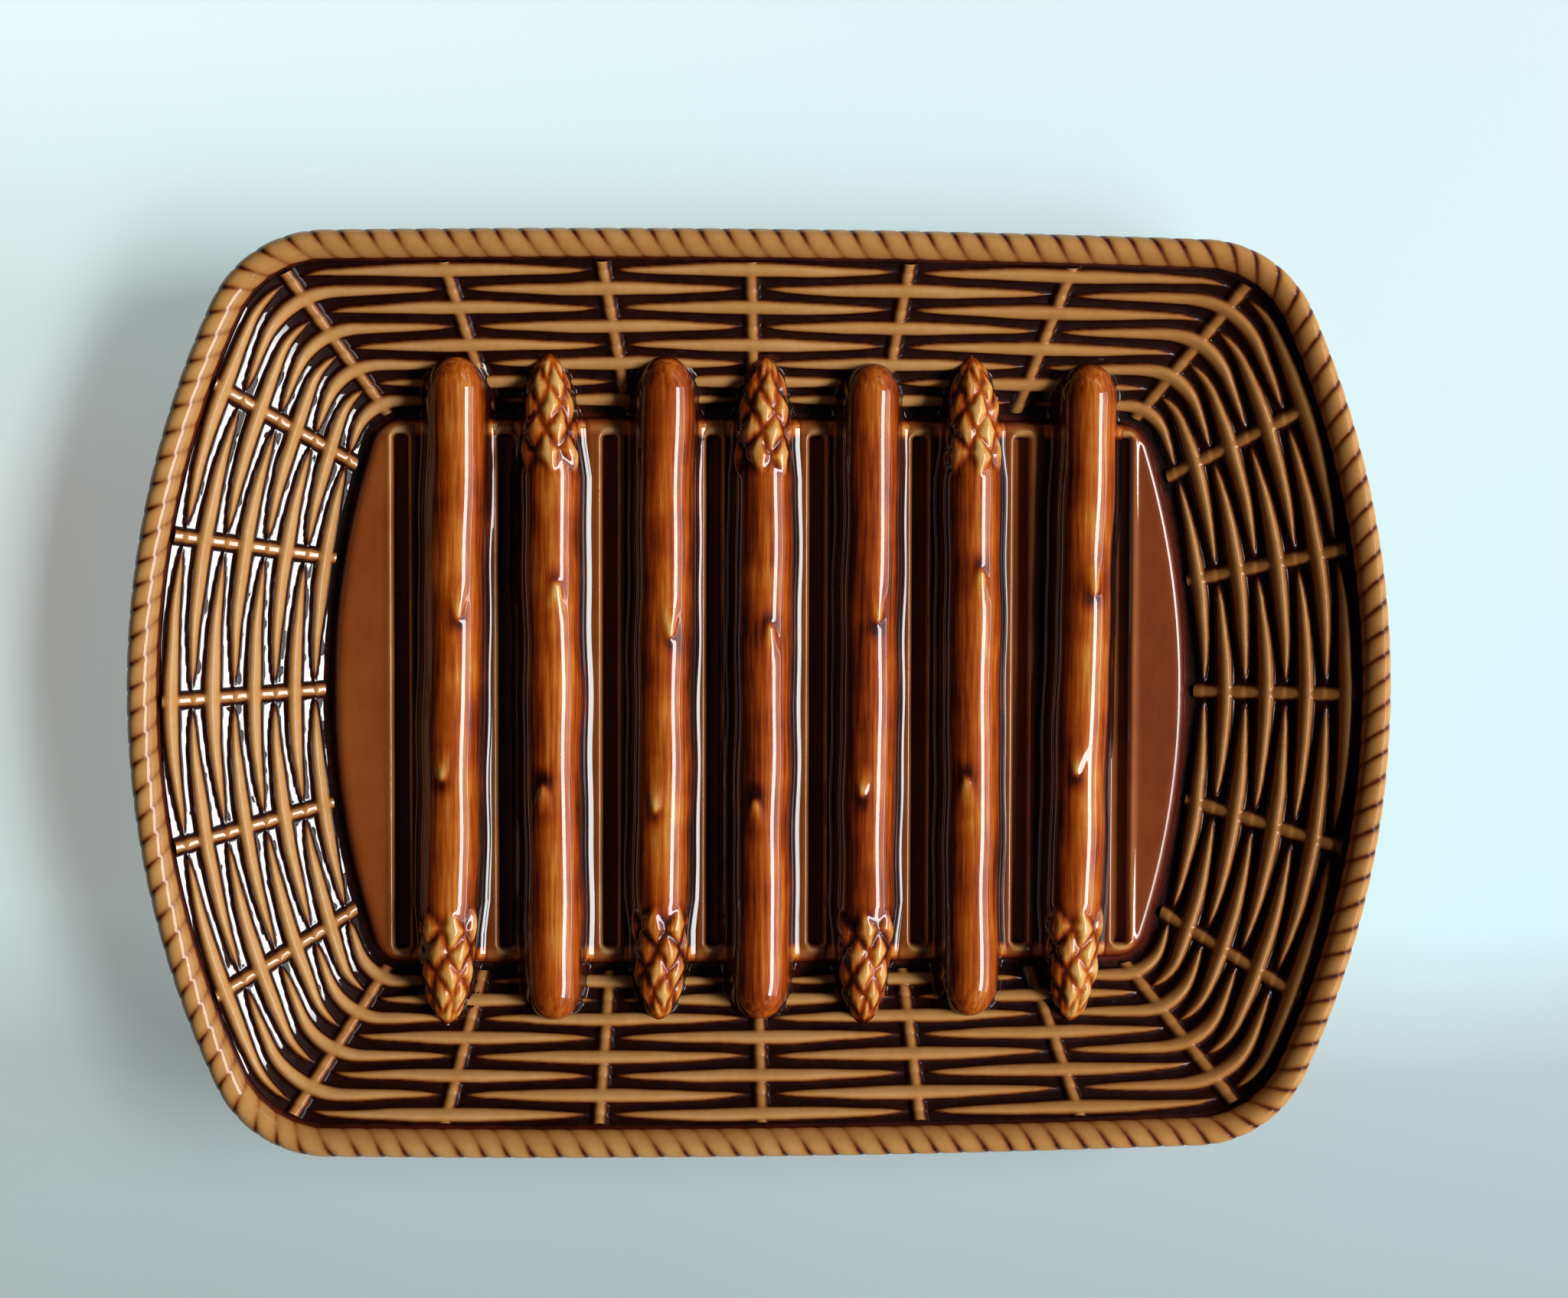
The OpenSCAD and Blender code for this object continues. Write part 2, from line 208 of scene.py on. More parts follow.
class Desk:
    """Adds nodes to one tree and plugs them together."""

    def __init__(self, tree):
        self.tree = tree
        self.tree.nodes.clear()

    def plug(self, slot, value):
        """A link into a slot, or its value."""
        if isinstance(value, Wire):
            self.tree.links.new(value.socket, slot)
        else:
            slot.default_value = value

    def add(self, kind, settings, values, output=0):
        """A node of any kind, as a wire from one of its outputs."""
        node = self.tree.nodes.new(kind)
        for name, value in settings.items():
            if name == "stops":
                self.set_stops(node.color_ramp, value)
            else:
                setattr(node, name, value)
        for name, value in values.items():
            self.plug(node.inputs[name], value)
        return Wire(self, node.outputs[output]) if len(node.outputs) else node

    def set_stops(self, ramp, stops):
        """The places and swatches of a colour ramp."""
        while len(ramp.elements) < len(stops):
            ramp.elements.new(0.5)
        for element, (place, code) in zip(ramp.elements, stops):
            element.position = place
            element.color = tone(code)

    def maths(self, operation, *values):
        return self.add("ShaderNodeMath", {"operation": operation}, dict(enumerate(values)))

    def clamp(self, value, low=0.0, high=1.0):
        return self.maths("MINIMUM", self.maths("MAXIMUM", value, low), high)

    def vectors(self, operation, values, output=0):
        return self.add("ShaderNodeVectorMath", {"operation": operation}, values, output)

    def part(self, vector, axis):
        return self.add("ShaderNodeSeparateXYZ", {}, {0: vector}, axis)

    def noise(self, place, scale, detail, seed=None, roughness=0.5):
        """Cloudy noise around a half, a different one for each seed."""
        values = {"Vector": place, "Scale": scale, "Detail": detail, "Roughness": roughness}
        if seed is None:
            return self.add("ShaderNodeTexNoise", {}, values)
        return self.add("ShaderNodeTexNoise", {"noise_dimensions": "4D"}, values | {"W": seed})

    def tint(self, colour, code, share):
        """A colour multiplied by a swatch, as far as the share says."""
        return self.add("ShaderNodeMix", {"data_type": "RGBA", "blend_type": "MULTIPLY"},
                        {0: share, 6: colour, 7: tone(code)}, 2)


print("the desk is ready")

# %% [markdown]
# ## The glaze
# On the spears, the panel, the rope and the right end of the weave, `thin` also carries painted light and
# shade, as said where each is made.
# Majolica glaze is a coloured glass. Its colour depends on how thick it
# lies: honey where it runs thin off a ridge, red-brown on flat places, and
# almost black in the hollows where it pools. So every piece below carries an
# attribute called `thin`, 1 on the ridges and 0 in the hollows, and each
# glaze is one colour ramp over it. Painting the dark lines by hand or with a
# picture would be slower, and would stop fitting as soon as a strand moved.
# The gloss itself is a clear coat over a slightly rough body. Where the
# glaze is too thin to shine, a second attribute, `dull`, takes coat away.


# %% Glazes
def new_material(name):
    """A material, and the desk of its node tree."""
    material = bpy.data.materials.new(name)
    material.use_nodes = True
    return material, Desk(material.node_tree)


def glaze(name, stops, streak=(1, 1, 1), clouding=0.1, streaking=0.1):
    """A pooling glaze: ramp stops run from thick (0) to thin (1)."""
    material, desk = new_material(name)
    thin = desk.add("ShaderNodeAttribute", {"attribute_name": "thin"}, {}, "Fac")
    dull = desk.add("ShaderNodeAttribute", {"attribute_name": "dull"}, {}, "Fac")
    place = desk.add("ShaderNodeTexCoord", {}, {}, "Object")
    cloud = desk.noise(place, scale=45.0, detail=3.0)
    stretched = desk.add("ShaderNodeMapping", {}, {"Vector": place, "Scale": streak})
    run = desk.noise(stretched, scale=420.0, detail=4.0, roughness=0.65)
    level = desk.clamp(thin + (cloud - 0.5) * (2 * clouding) + (run - 0.5) * (2 * streaking))
    colour = desk.add("ShaderNodeValToRGB", {"stops": stops}, {"Fac": level})
    speck = desk.add("ShaderNodeTexVoronoi", {}, {"Vector": place, "Scale": 260.0, "Randomness": 1.0})
    colour = desk.tint(colour, "#8A5A3A", desk.clamp((0.07 - speck) * 14) * 0.5)
    ripple = desk.noise(place, scale=160.0, detail=1.0)
    bump = desk.add("ShaderNodeBump", {}, {"Height": ripple, "Strength": 0.12, "Distance": 0.0012})
    shader = desk.add("ShaderNodeBsdfPrincipled", {}, {
        "Base Color": colour, "Roughness": 0.5 - 0.1 * level, "Normal": bump,
        "Specular IOR Level": 0.1, "Coat Weight": 1.0 - dull,
        "Coat Roughness": 0.03, "Coat IOR": 1.68})
    desk.add("ShaderNodeOutputMaterial", {}, {"Surface": shader})
    return material


honey_glaze = glaze("honey_glaze", [(0.0, "#1E0502"), (0.15, "#3E1306"), (0.35, "#743B16"),
                                    (0.55, "#A66C34"), (0.8, "#C18C4E"), (1.0, "#D2A570")])
amber_glaze = glaze("amber_glaze", [(0.0, "#200601"), (0.2, "#461303"), (0.4, "#863206"),
                                    (0.6, "#AE510D"), (0.8, "#C67C2E"), (1.0, "#D9A65E")],
                    streak=(2, 0.08, 2), clouding=0.36, streaking=0.48)
russet_glaze = glaze("russet_glaze", [(0.0, "#200804"), (0.25, "#5A1C0A"), (0.5, "#8A4016"),
                                      (0.7, "#A45C28"), (0.85, "#C08848"), (1.0, "#DCAE7C")],
                     streak=(1, 0.2, 1), clouding=0.14, streaking=0.06)
dark_glaze = glaze("dark_glaze", [(0.0, "#140402"), (0.35, "#97300E"), (0.55, "#7F4014"),
                                  (0.75, "#A66A2C"), (1.0, "#C8944E")])
print("glazes:", [m.name for m in (honey_glaze, amber_glaze, russet_glaze, dark_glaze)])

# %% [markdown]
# The foot is wiped clean before firing, so it shows the bare buff clay: a
# dull, slightly gritty surface with darker specks and no gloss at all.


# %% Bare clay
def bare_clay():
    """Dry buff clay with darker grit."""
    material, desk = new_material("bare_clay")
    place = desk.add("ShaderNodeTexCoord", {}, {}, "Object")
    cloud = desk.noise(place, scale=60.0, detail=4.0)
    grit = desk.noise(place, scale=1500.0, detail=2.0)
    colour = desk.add("ShaderNodeValToRGB", {"stops": [(0.25, "#A98560"), (0.75, "#D3B48C")]},
                      {"Fac": cloud * 0.6 + grit * 0.4})
    bump = desk.add("ShaderNodeBump", {}, {"Height": grit, "Strength": 0.35, "Distance": 0.0004})
    shader = desk.add("ShaderNodeBsdfPrincipled", {},
                      {"Base Color": colour, "Roughness": 0.8 + 0.15 * grit, "Normal": bump})
    desk.add("ShaderNodeOutputMaterial", {}, {"Surface": shader})
    return material


foot_clay = bare_clay()
print("clay:", foot_clay.name)

# %% [markdown]
# ## Making a mesh from points
# Most of the plate is relief: a height over a grid that follows the form.
# One helper turns a grid, or chosen cells of it, into a mesh whose points
# carry `thin` and whatever else is named. It also keeps the normals of the
# whole grid, so that two neighbouring pieces cut from one surface show no
# seam in the gloss.


# %% Mesh helpers
def grid_cells(grid, closed):
    """Corner numbers of the cells of a grid, row by row."""
    rows, columns = grid.shape[:2]
    j, i = np.indices((rows - 1, columns if closed else columns - 1))
    here = j * columns + i
    beside = j * columns + (i + 1) % columns
    return np.stack([here, here + columns, beside + columns, beside], -1)


def grid_normals(points, closed):
    """Normals of a grid of points, from the steps to its neighbours."""
    if closed:
        along = np.roll(points, -1, 1) - np.roll(points, 1, 1)
    else:
        along = np.gradient(points, axis=1)
    normals = np.cross(np.gradient(points, axis=0), along)
    return normals / np.maximum(np.linalg.norm(normals, axis=-1, keepdims=True), 1e-12)


def add_object(name, data):
    """A new object of some data, linked into the scene."""
    thing = bpy.data.objects.new(name, data)
    bpy.context.scene.collection.objects.link(thing)
    return thing


def write_layer(mesh, label, values):
    """Give each point of a mesh a number or a vector."""
    flat = values.reshape(len(mesh.vertices), -1).astype(np.float32)
    kind, field = ("FLOAT_VECTOR", "vector") if flat.shape[1] == 3 else ("FLOAT", "value")
    mesh.attributes.new(label, kind, "POINT").data.foreach_set(field, flat.ravel())


def read_layer(mesh, label, field="value", size=1):
    """The numbers of a mesh's points, or its vectors, in one row."""
    values = np.zeros(len(mesh.vertices) * size, np.float32)
    mesh.attributes[label].data.foreach_get(field, values)
    return values.astype(float)


def build_piece(name, points, cells, material, normals=None, **layers):
    """A mesh object from corner points and four-cornered cells."""
    points = points.reshape(-1, 3)
    used, cells = np.unique(cells.reshape(-1, 4), return_inverse=True)
    cells = cells.reshape(-1, 4)
    mesh = bpy.data.meshes.new(name)
    mesh.vertices.add(len(used))
    mesh.vertices.foreach_set("co", points[used].astype(np.float32).ravel())
    mesh.loops.add(cells.size)
    mesh.loops.foreach_set("vertex_index", cells.astype(np.int32).ravel())
    mesh.polygons.add(len(cells))
    mesh.polygons.foreach_set("loop_start", np.arange(0, cells.size, 4, dtype=np.int32))
    mesh.update(calc_edges=True)
    mesh.validate()
    mesh.shade_smooth()
    for label, values in layers.items():
        write_layer(mesh, label, values.reshape(len(points), -1)[used])
    if normals is not None:
        mesh.normals_split_custom_set_from_vertices(normals.reshape(-1, 3)[used].tolist())
    mesh.materials.append(material)
    return add_object(name, mesh)


def fade(value, span=1.0):
    """0 below zero, 1 past the span, and an even slope in between."""
    return np.clip(value / span, 0, 1)


def smooth_max(a, b, round_off):
    """The larger of two heights, with a round of glaze in the corner."""
    near = np.maximum(round_off - np.abs(a - b), 0) / round_off
    return np.maximum(a, b) + near**2 * round_off / 4


def soften(values, widths, closed):
    """A blur of a grid of values, with its width in cells each way."""
    for axis, width in enumerate(widths):
        reach = math.ceil(2.5 * width)
        steps = np.arange(-reach, reach + 1)
        weights = np.exp(-steps**2 / (2 * width**2))
        weights /= weights.sum()
        pad = np.zeros((values.ndim, 2), int)
        pad[axis] = reach
        wide = np.pad(values, pad, mode="wrap" if closed and axis == 1 else "edge")
        middle = reach + np.arange(values.shape[axis])
        values = sum(w * np.take(wide, middle + s, axis) for s, w in zip(steps, weights))
    return values


print("mesh helpers ready")

# %% [markdown]
# ## The wall under the weave
# The wall is a flared band between the foot of the wall, just outside the
# panel, and the lip under the rope. The 24 stakes stand where the maker's
# hand put them, not at even spaces, so their places are two short lists: one
# round the rim, one round the foot. Every point of the wall then has two
# numbers, the stake number round it and the row number up it, and both are
# stored on the mesh for the weaving nodes to read.

# %% The wall's grid
stake_rim_shares = [0, 0.97, 1.94, 2.86, 4.03, 5.09, 6.12, 7.08, 8.09, 9.1, 9.97, 10.97,
                    12.04, 12.98, 13.98, 14.92, 15.9, 16.9, 17.96, 19, 20.06, 21.1, 21.95, 22.98]
stake_foot_shares = [0, 1.01, 1.98, 2.62, 3.72, 4.94, 6.1, 7.24, 8.46, 9.38, 9.94, 10.8,
                     11.98, 13, 13.98, 14.6, 15.46, 16.6, 17.94, 19.26, 20.44, 21.32, 21.94, 23]
STAKES = len(stake_rim_shares)
ROWS = 8
CELLS_A_STAKE = 90
CELLS_A_ROW = 15


def spot(shares, k):
    """Share of the way round at stake number k, whole or in between."""
    places = np.append(shares, STAKES + shares[0])
    place = np.interp(np.mod(k, STAKES), np.arange(STAKES + 1), places)
    return (place + STAKES * np.floor(k / STAKES)) / STAKES


def wall_points(k, climb):
    """Points of the bare wall, climb being 0 at its foot and 1 at the lip."""
    foot, _ = panel.at(spot(stake_foot_shares, k), -groove_w)
    top, _ = rim.at(spot(stake_rim_shares, k), wall_inset)
    climb = climb[..., None]
    flat = foot * (1 - climb) + top * climb
    return np.concatenate([flat, floor_z + (lip_z - floor_z) * climb], -1)


stake_no, climb = np.meshgrid(np.arange(STAKES * CELLS_A_STAKE) / CELLS_A_STAKE,
                              np.linspace(0, 1, ROWS * CELLS_A_ROW + 1))
bare_wall = wall_points(stake_no, climb)
wall_out = grid_normals(bare_wall, True)
slope_length = np.linalg.norm(bare_wall[-1] - bare_wall[0], axis=-1)
space_length = np.linalg.norm(np.roll(bare_wall, -1, 1) - bare_wall, axis=-1) * CELLS_A_STAKE
print("wall grid:", bare_wall.shape[:2], "slope", round(slope_length.mean() / MM, 1), "mm long")

# %% [markdown]
# ## Weaving with Geometry Nodes
# The basket is a rule rather than a shape: in each row a strand lies over
# every other stake, swells over it, and dives beside the two stakes next to
# it, and the next row does the same one stake further on. A modeller could
# place 96 strands by hand, or bend one strand 96 times; a node tree writes
# the rule once. For any point of the wall it works out how high the nearest
# strands and stake stand there, and joins them with the smooth maximum, which
# leaves the little round of glaze that fills each corner on the real plate.
# Between the strands lie pools of glaze. They ran a little before they set,
# so each one sags towards the foot of the wall and has small waves.

# %% The weaving tree
WEAVE_INLETS = [("Strand Width", 5.4 * MM), ("Strand Height", 2.3 * MM), ("Strand Reach", 0.94),
                ("Strand Tilt", 0.25), ("Stake Width", 4.8 * MM), ("Stake Height", 1.6 * MM),
                ("Glaze Fillet", 1.0 * MM), ("Pool Depth", 0.03 * MM), ("Pool Sag", 0.34 * MM),
                ("Pool Waves", 0.75 * MM), ("Waver", 0.1)]


def begin_tree(name, inlets):
    """A tree with a geometry, some numbers, a seed and a material coming in."""
    tree = bpy.data.node_groups.new(name, "GeometryNodeTree")

    def socket(label, kind, way="INPUT"):
        return tree.interface.new_socket(label, in_out=way, socket_type="NodeSocket" + kind)

    socket("Geometry", "Geometry")
    socket("Geometry", "Geometry", "OUTPUT")
    for label, value in inlets:
        socket(label, "Float").default_value = value
    socket("Seed", "Int")
    socket("Material", "Material")
    desk = Desk(tree)
    source = tree.nodes.new("NodeGroupInput")
    return desk, {outlet.name: Wire(desk, outlet) for outlet in source.outputs if outlet.name}


def end_tree(desk, geometry, material):
    """Make all of it real, give the material and hand the tree out."""
    real = desk.add("GeometryNodeRealizeInstances", {}, {"Geometry": geometry})
    made = desk.add("GeometryNodeSetMaterial", {}, {"Geometry": real, "Material": material})
    outlet = desk.tree.nodes.new("NodeGroupOutput")
    desk.plug(outlet.inputs["Geometry"], made)
    return desk.tree


def read(desk, label, kind="FLOAT"):
    """A value that the points of the geometry carry."""
    return desk.add("GeometryNodeInputNamedAttribute", {"data_type": kind}, {"Name": label}, "Attribute")


def store(desk, geometry, label, value):
    """The geometry, with one more number on its points."""
    return desk.add("GeometryNodeStoreNamedAttribute", {"data_type": "FLOAT", "domain": "POINT"},
                    {"Geometry": geometry, "Name": label, "Value": value})


def strand_height(desk, inlet, row, row_here, stake_here, row_size, swell):
    """How high a row's strand stands here: thick over its stake, thin at its ends."""
    lean_reach = 3 * MM
    hidden = 12 * MM
    parity = desk.maths("FLOORED_MODULO", row + 1, 2)
    centre = 2 * desk.maths("ROUND", (stake_here - parity) * 0.5) + parity
    away = abs(stake_here - centre) / inlet["Strand Reach"]
    along = desk.clamp(away)
    half = inlet["Strand Width"] * 0.5 * swell * (1 - 0.72 * along ** 1.8)
    high = inlet["Strand Height"] * (1 - 0.55 * along * along)
    lean = inlet["Strand Tilt"] * desk.clamp((row - row_here) * row_size, -lean_reach, lean_reach)
    across = abs(row_here - row) * row_size / half
    beyond = desk.maths("MAXIMUM", away - 0.8, 0.0) / 0.2
    edge = across * across + beyond * beyond
    inside = desk.maths("GREATER_THAN", row, 0.5) * desk.maths("LESS_THAN", row, ROWS + 0.5)
    return (high * (1 - edge ** 1.5) + lean) * inside - (1 - inside) * hidden


def weaving_tree():
    """The rule of the basket: lifts each point of the wall to its height."""
    desk, inlet = begin_tree("woven wall", WEAVE_INLETS)
    stake_here, out = read(desk, "stake_no"), read(desk, "out", "FLOAT_VECTOR")
    row_size, space = read(desk, "row_size"), read(desk, "space")
    place = desk.add("GeometryNodeInputPosition", {}, {})
    hand = desk.noise(place, scale=38.0, detail=1.0, seed=inlet["Seed"])
    press = desk.noise(place, scale=55.0, detail=2.0, seed=inlet["Seed"] + 5)
    row_here = read(desk, "row_no") + (hand - 0.5) * (2 * inlet["Waver"])
    near = desk.clamp(desk.maths("ROUND", row_here), 1, ROWS)
    beside = near + desk.maths("SIGN", row_here - near)
    strands = [strand_height(desk, inlet, row, row_here, stake_here, row_size, 0.85 + 0.3 * press)
               for row in (near, beside)]
    from_stake = abs(stake_here - desk.maths("ROUND", stake_here)) * space / (inlet["Stake Width"] * 0.5)
    stake = inlet["Stake Height"] * (1 - from_stake ** 2.4)
    fillet = inlet["Glaze Fillet"]
    relief = desk.maths("SMOOTH_MAX", strands[0], strands[1], fillet)
    between = desk.maths("FRACT", row_here) - 0.5
    sag = inlet["Pool Sag"] * between * (1 - (4 * between * between) ** 4)
    relief = desk.maths("SMOOTH_MAX", relief, stake - sag, fillet)
    drip = desk.noise(place, scale=120.0, detail=1.0, seed=inlet["Seed"] + 9)
    hollow = inlet["Pool Depth"] * desk.maths("COSINE", between * (2 * math.pi))
    pool = (drip - 0.5) * inlet["Pool Waves"] - sag - hollow
    relief = desk.maths("SMOOTH_MAX", relief, pool, fillet)
    relief = relief * (0.92 + 0.16 * press)
    lift = desk.vectors("SCALE", {0: out, "Scale": relief})
    raised = desk.add("GeometryNodeSetPosition", {}, {"Geometry": inlet["Geometry"], "Offset": lift})
    return end_tree(desk, store(desk, raised, "relief", relief), inlet["Material"])


weave_tree = weaving_tree()
print("weaving tree:", len(weave_tree.nodes), "nodes, inputs", list(dict(WEAVE_INLETS)))

# %% [markdown]
# The tree is run once on the whole wall, so that every row knows its
# neighbours. The result is read back as plain points: the modifier's inputs
# are set by their identifiers, the evaluated object gives the mesh, and the
# helper object is deleted.


# %% Press the weave into the wall
def run_tree(piece, tree, seed):
    """The plain mesh that a tree makes of a piece, under honey glaze."""
    modifier = piece.modifiers.new(tree.name, "NODES")
    modifier.node_group = tree
    for name, value in (("Seed", seed), ("Material", honey_glaze)):
        modifier[tree.interface.items_tree[name].identifier] = value
    depsgraph = bpy.context.evaluated_depsgraph_get()
    mesh = bpy.data.meshes.new_from_object(piece.evaluated_get(depsgraph), depsgraph=depsgraph)
    bpy.data.objects.remove(piece)
    return mesh


wall_cells = grid_cells(stake_no, True)
bare = build_piece("bare_wall", bare_wall, wall_cells, honey_glaze, stake_no=stake_no,
                   row_no=(1 - climb) * ROWS + 0.5, out=wall_out, space=space_length,
                   row_size=np.broadcast_to(slope_length / ROWS, stake_no.shape))
woven = run_tree(bare, weave_tree, seed=11)
wall = read_layer(woven, "position", "vector", 3).reshape(bare_wall.shape)
relief = read_layer(woven, "relief").reshape(stake_no.shape)
bpy.data.meshes.remove(woven)
wall_normals = grid_normals(wall, True)
print("relief from", round(relief.min() / MM, 2), "to", round(relief.max() / MM, 2), "mm")

# %% [markdown]
# How thin the glaze lies follows from the relief: high places shed it, and
# so do places that stand over their own surroundings, which is the relief
# less a blurred copy of itself. Towards the right end of the plate the
# strands are painted darker and the pools between them a little lighter, as
# painted shade on the wall that faces away from the window. The coat is weak
# on thin glaze, and on the long walls and the right end, so the left end
# shines most.

# %% Glaze on the weave
strand_h = dict(WEAVE_INLETS)["Strand Height"]
stake_half = dict(WEAVE_INLETS)["Stake Width"] / 2
around = soften(relief, (4, 4), True)
on_top = fade(relief - 0.4 * MM, 1.5 * MM)
weave_thin = 0.73 * on_top**0.9 + 0.45 * (relief - around) / strand_h
to_right = fade(1.3 * wall[..., 0] / half_l - 0.3)
broad = fade(relief - 0.2 * MM, 0.9 * MM)
# Painted shade: towards the right end the strands are painted darker and the pools a little lighter.
weave_thin += (0.08 + 0.5 * broad - weave_thin) * to_right
weave_thin = fade(weave_thin)
off_stake = fade(np.abs(stake_no - np.round(stake_no)) * space_length / stake_half - 0.2)
off_stake = np.maximum(off_stake, fade(relief - 1.6 * MM, 0.3 * MM))
weave_dull = 0.85 * fade(weave_thin - 0.3, 0.3) * (0.4 + 0.6 * off_stake)
long_side = fade(3 * (np.abs(wall_out[..., 1]) - np.abs(wall_out[..., 0])) + 0.7)
weave_dull = np.maximum(weave_dull, 0.15 + 0.67 * np.maximum(long_side, to_right))
print("thin glaze on the weave:", weave_thin.min().round(2), "to", weave_thin.max().round(2))

# %% [markdown]
# ## Rows and stakes as pieces
# The woven surface is now cut into the plate's own parts: eight rows, and
# one piece with the places where the stakes show between the strands.

# %% Cut the wall into rows and stakes
cell_j, cell_i = np.indices((ROWS * CELLS_A_ROW, STAKES * CELLS_A_STAKE))
cell_row = ROWS - cell_j // CELLS_A_ROW
cell_k = (cell_i + 0.5) / CELLS_A_STAKE
nearest = np.round(cell_k)
stake_reach = 2.9 * MM
shows = (nearest + cell_row) % 2 == 0
on_stake = shows & (np.abs(cell_k - nearest) * space_length[:-1] < stake_reach)


def cut_from_wall(name, chosen):
    """The chosen cells of the woven wall, as a piece of their own."""
    return build_piece(name, wall, wall_cells[chosen], honey_glaze, wall_normals,
                       thin=weave_thin, dull=weave_dull)


pieces = {}
for row in range(1, ROWS + 1):
    pieces[f"weave_row_{row}"] = cut_from_wall(f"woven_strands_{row}", (cell_row == row) & ~on_stake)
pieces["wall_stakes"] = cut_from_wall("basket_stakes", on_stake)
print({name: len(piece.data.polygons) for name, piece in pieces.items()})

# %% [markdown]
# ## The draining panel
# The panel is a pillow of clay with eight slots cut through it. Its height is
# a formula of two distances: how far a point lies inside the panel's
# outline, and how far it lies outside the nearest slot. The grid has more
# lines where the height changes quickly, beside the slots and at the rim.

# %% Slots and pillow edge
SPEARS = 7
spear_pitch = 32 * MM
slot_w = 4 * MM
slot_l = 158 * MM
slot_corner_r = 1 * MM
pillow = 4.6 * MM
slot_lip = 1.4 * MM
bead_off = 1.5 * MM
bead_w = 1.0 * MM
seam = 0.05 * MM
rim_drop = 0.5 * MM
slot_x = (np.arange(SPEARS + 1) - SPEARS / 2) * spear_pitch


def rounded(share, power):
    """A quarter round: 0 at the edge, level from share 1 on."""
    return (1 - (1 - fade(share)) ** power) ** (1 / power)


def slot_distance(x, y):
    """Distance outside the nearest slot's wall, negative in the slot."""
    aside = np.abs(x[..., None] - slot_x).min(-1) - (slot_w / 2 - slot_corner_r)
    beyond = np.abs(y) - (slot_l / 2 - slot_corner_r)
    outside = np.hypot(np.maximum(aside, 0), np.maximum(beyond, 0))
    return outside + np.minimum(np.maximum(aside, beyond), 0) - slot_corner_r


def panel_height(x, y, bead_h=0.4 * MM):
    """Height of the panel's surface, with a low bead of glaze at its slots."""
    edge = rounded(panel.depth(x, y) / pillow, 2.3)
    from_slot = slot_distance(x, y)
    slot = rounded(from_slot / slot_lip, 2.4)
    bead = bead_h * np.exp(-((from_slot - bead_off) / bead_w) ** 2) * edge
    height = floor_z + seam + (panel_z - floor_z - seam) * np.minimum(edge, slot) + bead
    return height - rim_drop * (panel.depth(x, y) < 0)


def panel_lines():
    """Grid lines across the panel, closer together beside the slots."""
    beside = np.array([0, 0.9, 1.5, 1.85, 2.0, 2.1, 2.25, 2.45, 2.7,
                       3.0, 3.4, 3.9, 4.6, 5.6, 7, 9, 11, 13.5])
    half = np.concatenate([-beside[:0:-1], beside]) * MM
    lines = np.concatenate([x + half for x in slot_x])
    return np.unique(np.round(lines[np.abs(lines) < slot_x[-1] + slot_w], 6))


def panel_grid():
    """The lines of the slots' field, and more that reach its bowed ends."""
    across = panel_lines()
    ends = np.sort(1 - np.linspace(0, 1, 34)[1:] ** 2)
    inner_y = np.concatenate([np.linspace(0, 0.84, 26)[:-1], np.linspace(0.84, 1.004, 64)])
    share_y = np.concatenate([-inner_y[:0:-1], inner_y])
    limit = across[-1]
    u = np.concatenate([-(ends[::-1] + 1), across / limit, ends + 1])
    u, v = np.meshgrid(u, share_y)
    half_y = panel.half_w - panel.long_bow * (np.minimum(np.abs(u), 1) * limit / panel.half_l) ** 2
    y = v * half_y
    reach = panel.side_c[0] + np.sqrt(panel.side_r**2 - y**2) + 0.4 * MM
    beyond = limit + (np.abs(u) - 1) * (reach - limit)
    x = np.where(np.abs(u) <= 1, u * limit, np.sign(u) * beyond)
    return x, y


panel_x, panel_y = panel_grid()
panel_points = np.stack([panel_x, panel_y, panel_height(panel_x, panel_y)], -1)
print("panel grid:", panel_x.shape, "lines; slots at", (slot_x / MM).tolist())

# %% [markdown]
# ## Where the spears lie
# The spears were laid by hand, head to tail, so each has a small lean and
# shift of its own. A function gives the sideways place of a spear's axis at
# any height up the panel; the glaze on the panel uses it too, because glaze
# gathers against the spears' feet.

# %% Lie of the spears
tip_way = np.array([-1, 1, -1, 1, -1, 1, -1])
spear_lean_shares = np.array([0.05, -0.02, 0.03, 0.02, 0.03, 0, 0.07])
spear_side_shares = np.array([-0.01, -0.06, 0, -0.04, -0.02, -0.02, 0.05])
spear_shift_shares = np.array([0, 0.008, 0.002, 0.006, -0.006, 0.008, -0.004])
spear_r = 9.25 * MM
spear_l = 205 * MM
spear_sink = 5.5 * MM
axis_z = panel_z + spear_r - spear_sink


def spear_x(i, y):
    """Sideways place of spear i's axis at a place along the plate's Y."""
    lean = spear_lean_shares[i] * 2 * y / spear_l
    return (i - (SPEARS - 1) / 2 + spear_side_shares[i] + lean) * spear_pitch


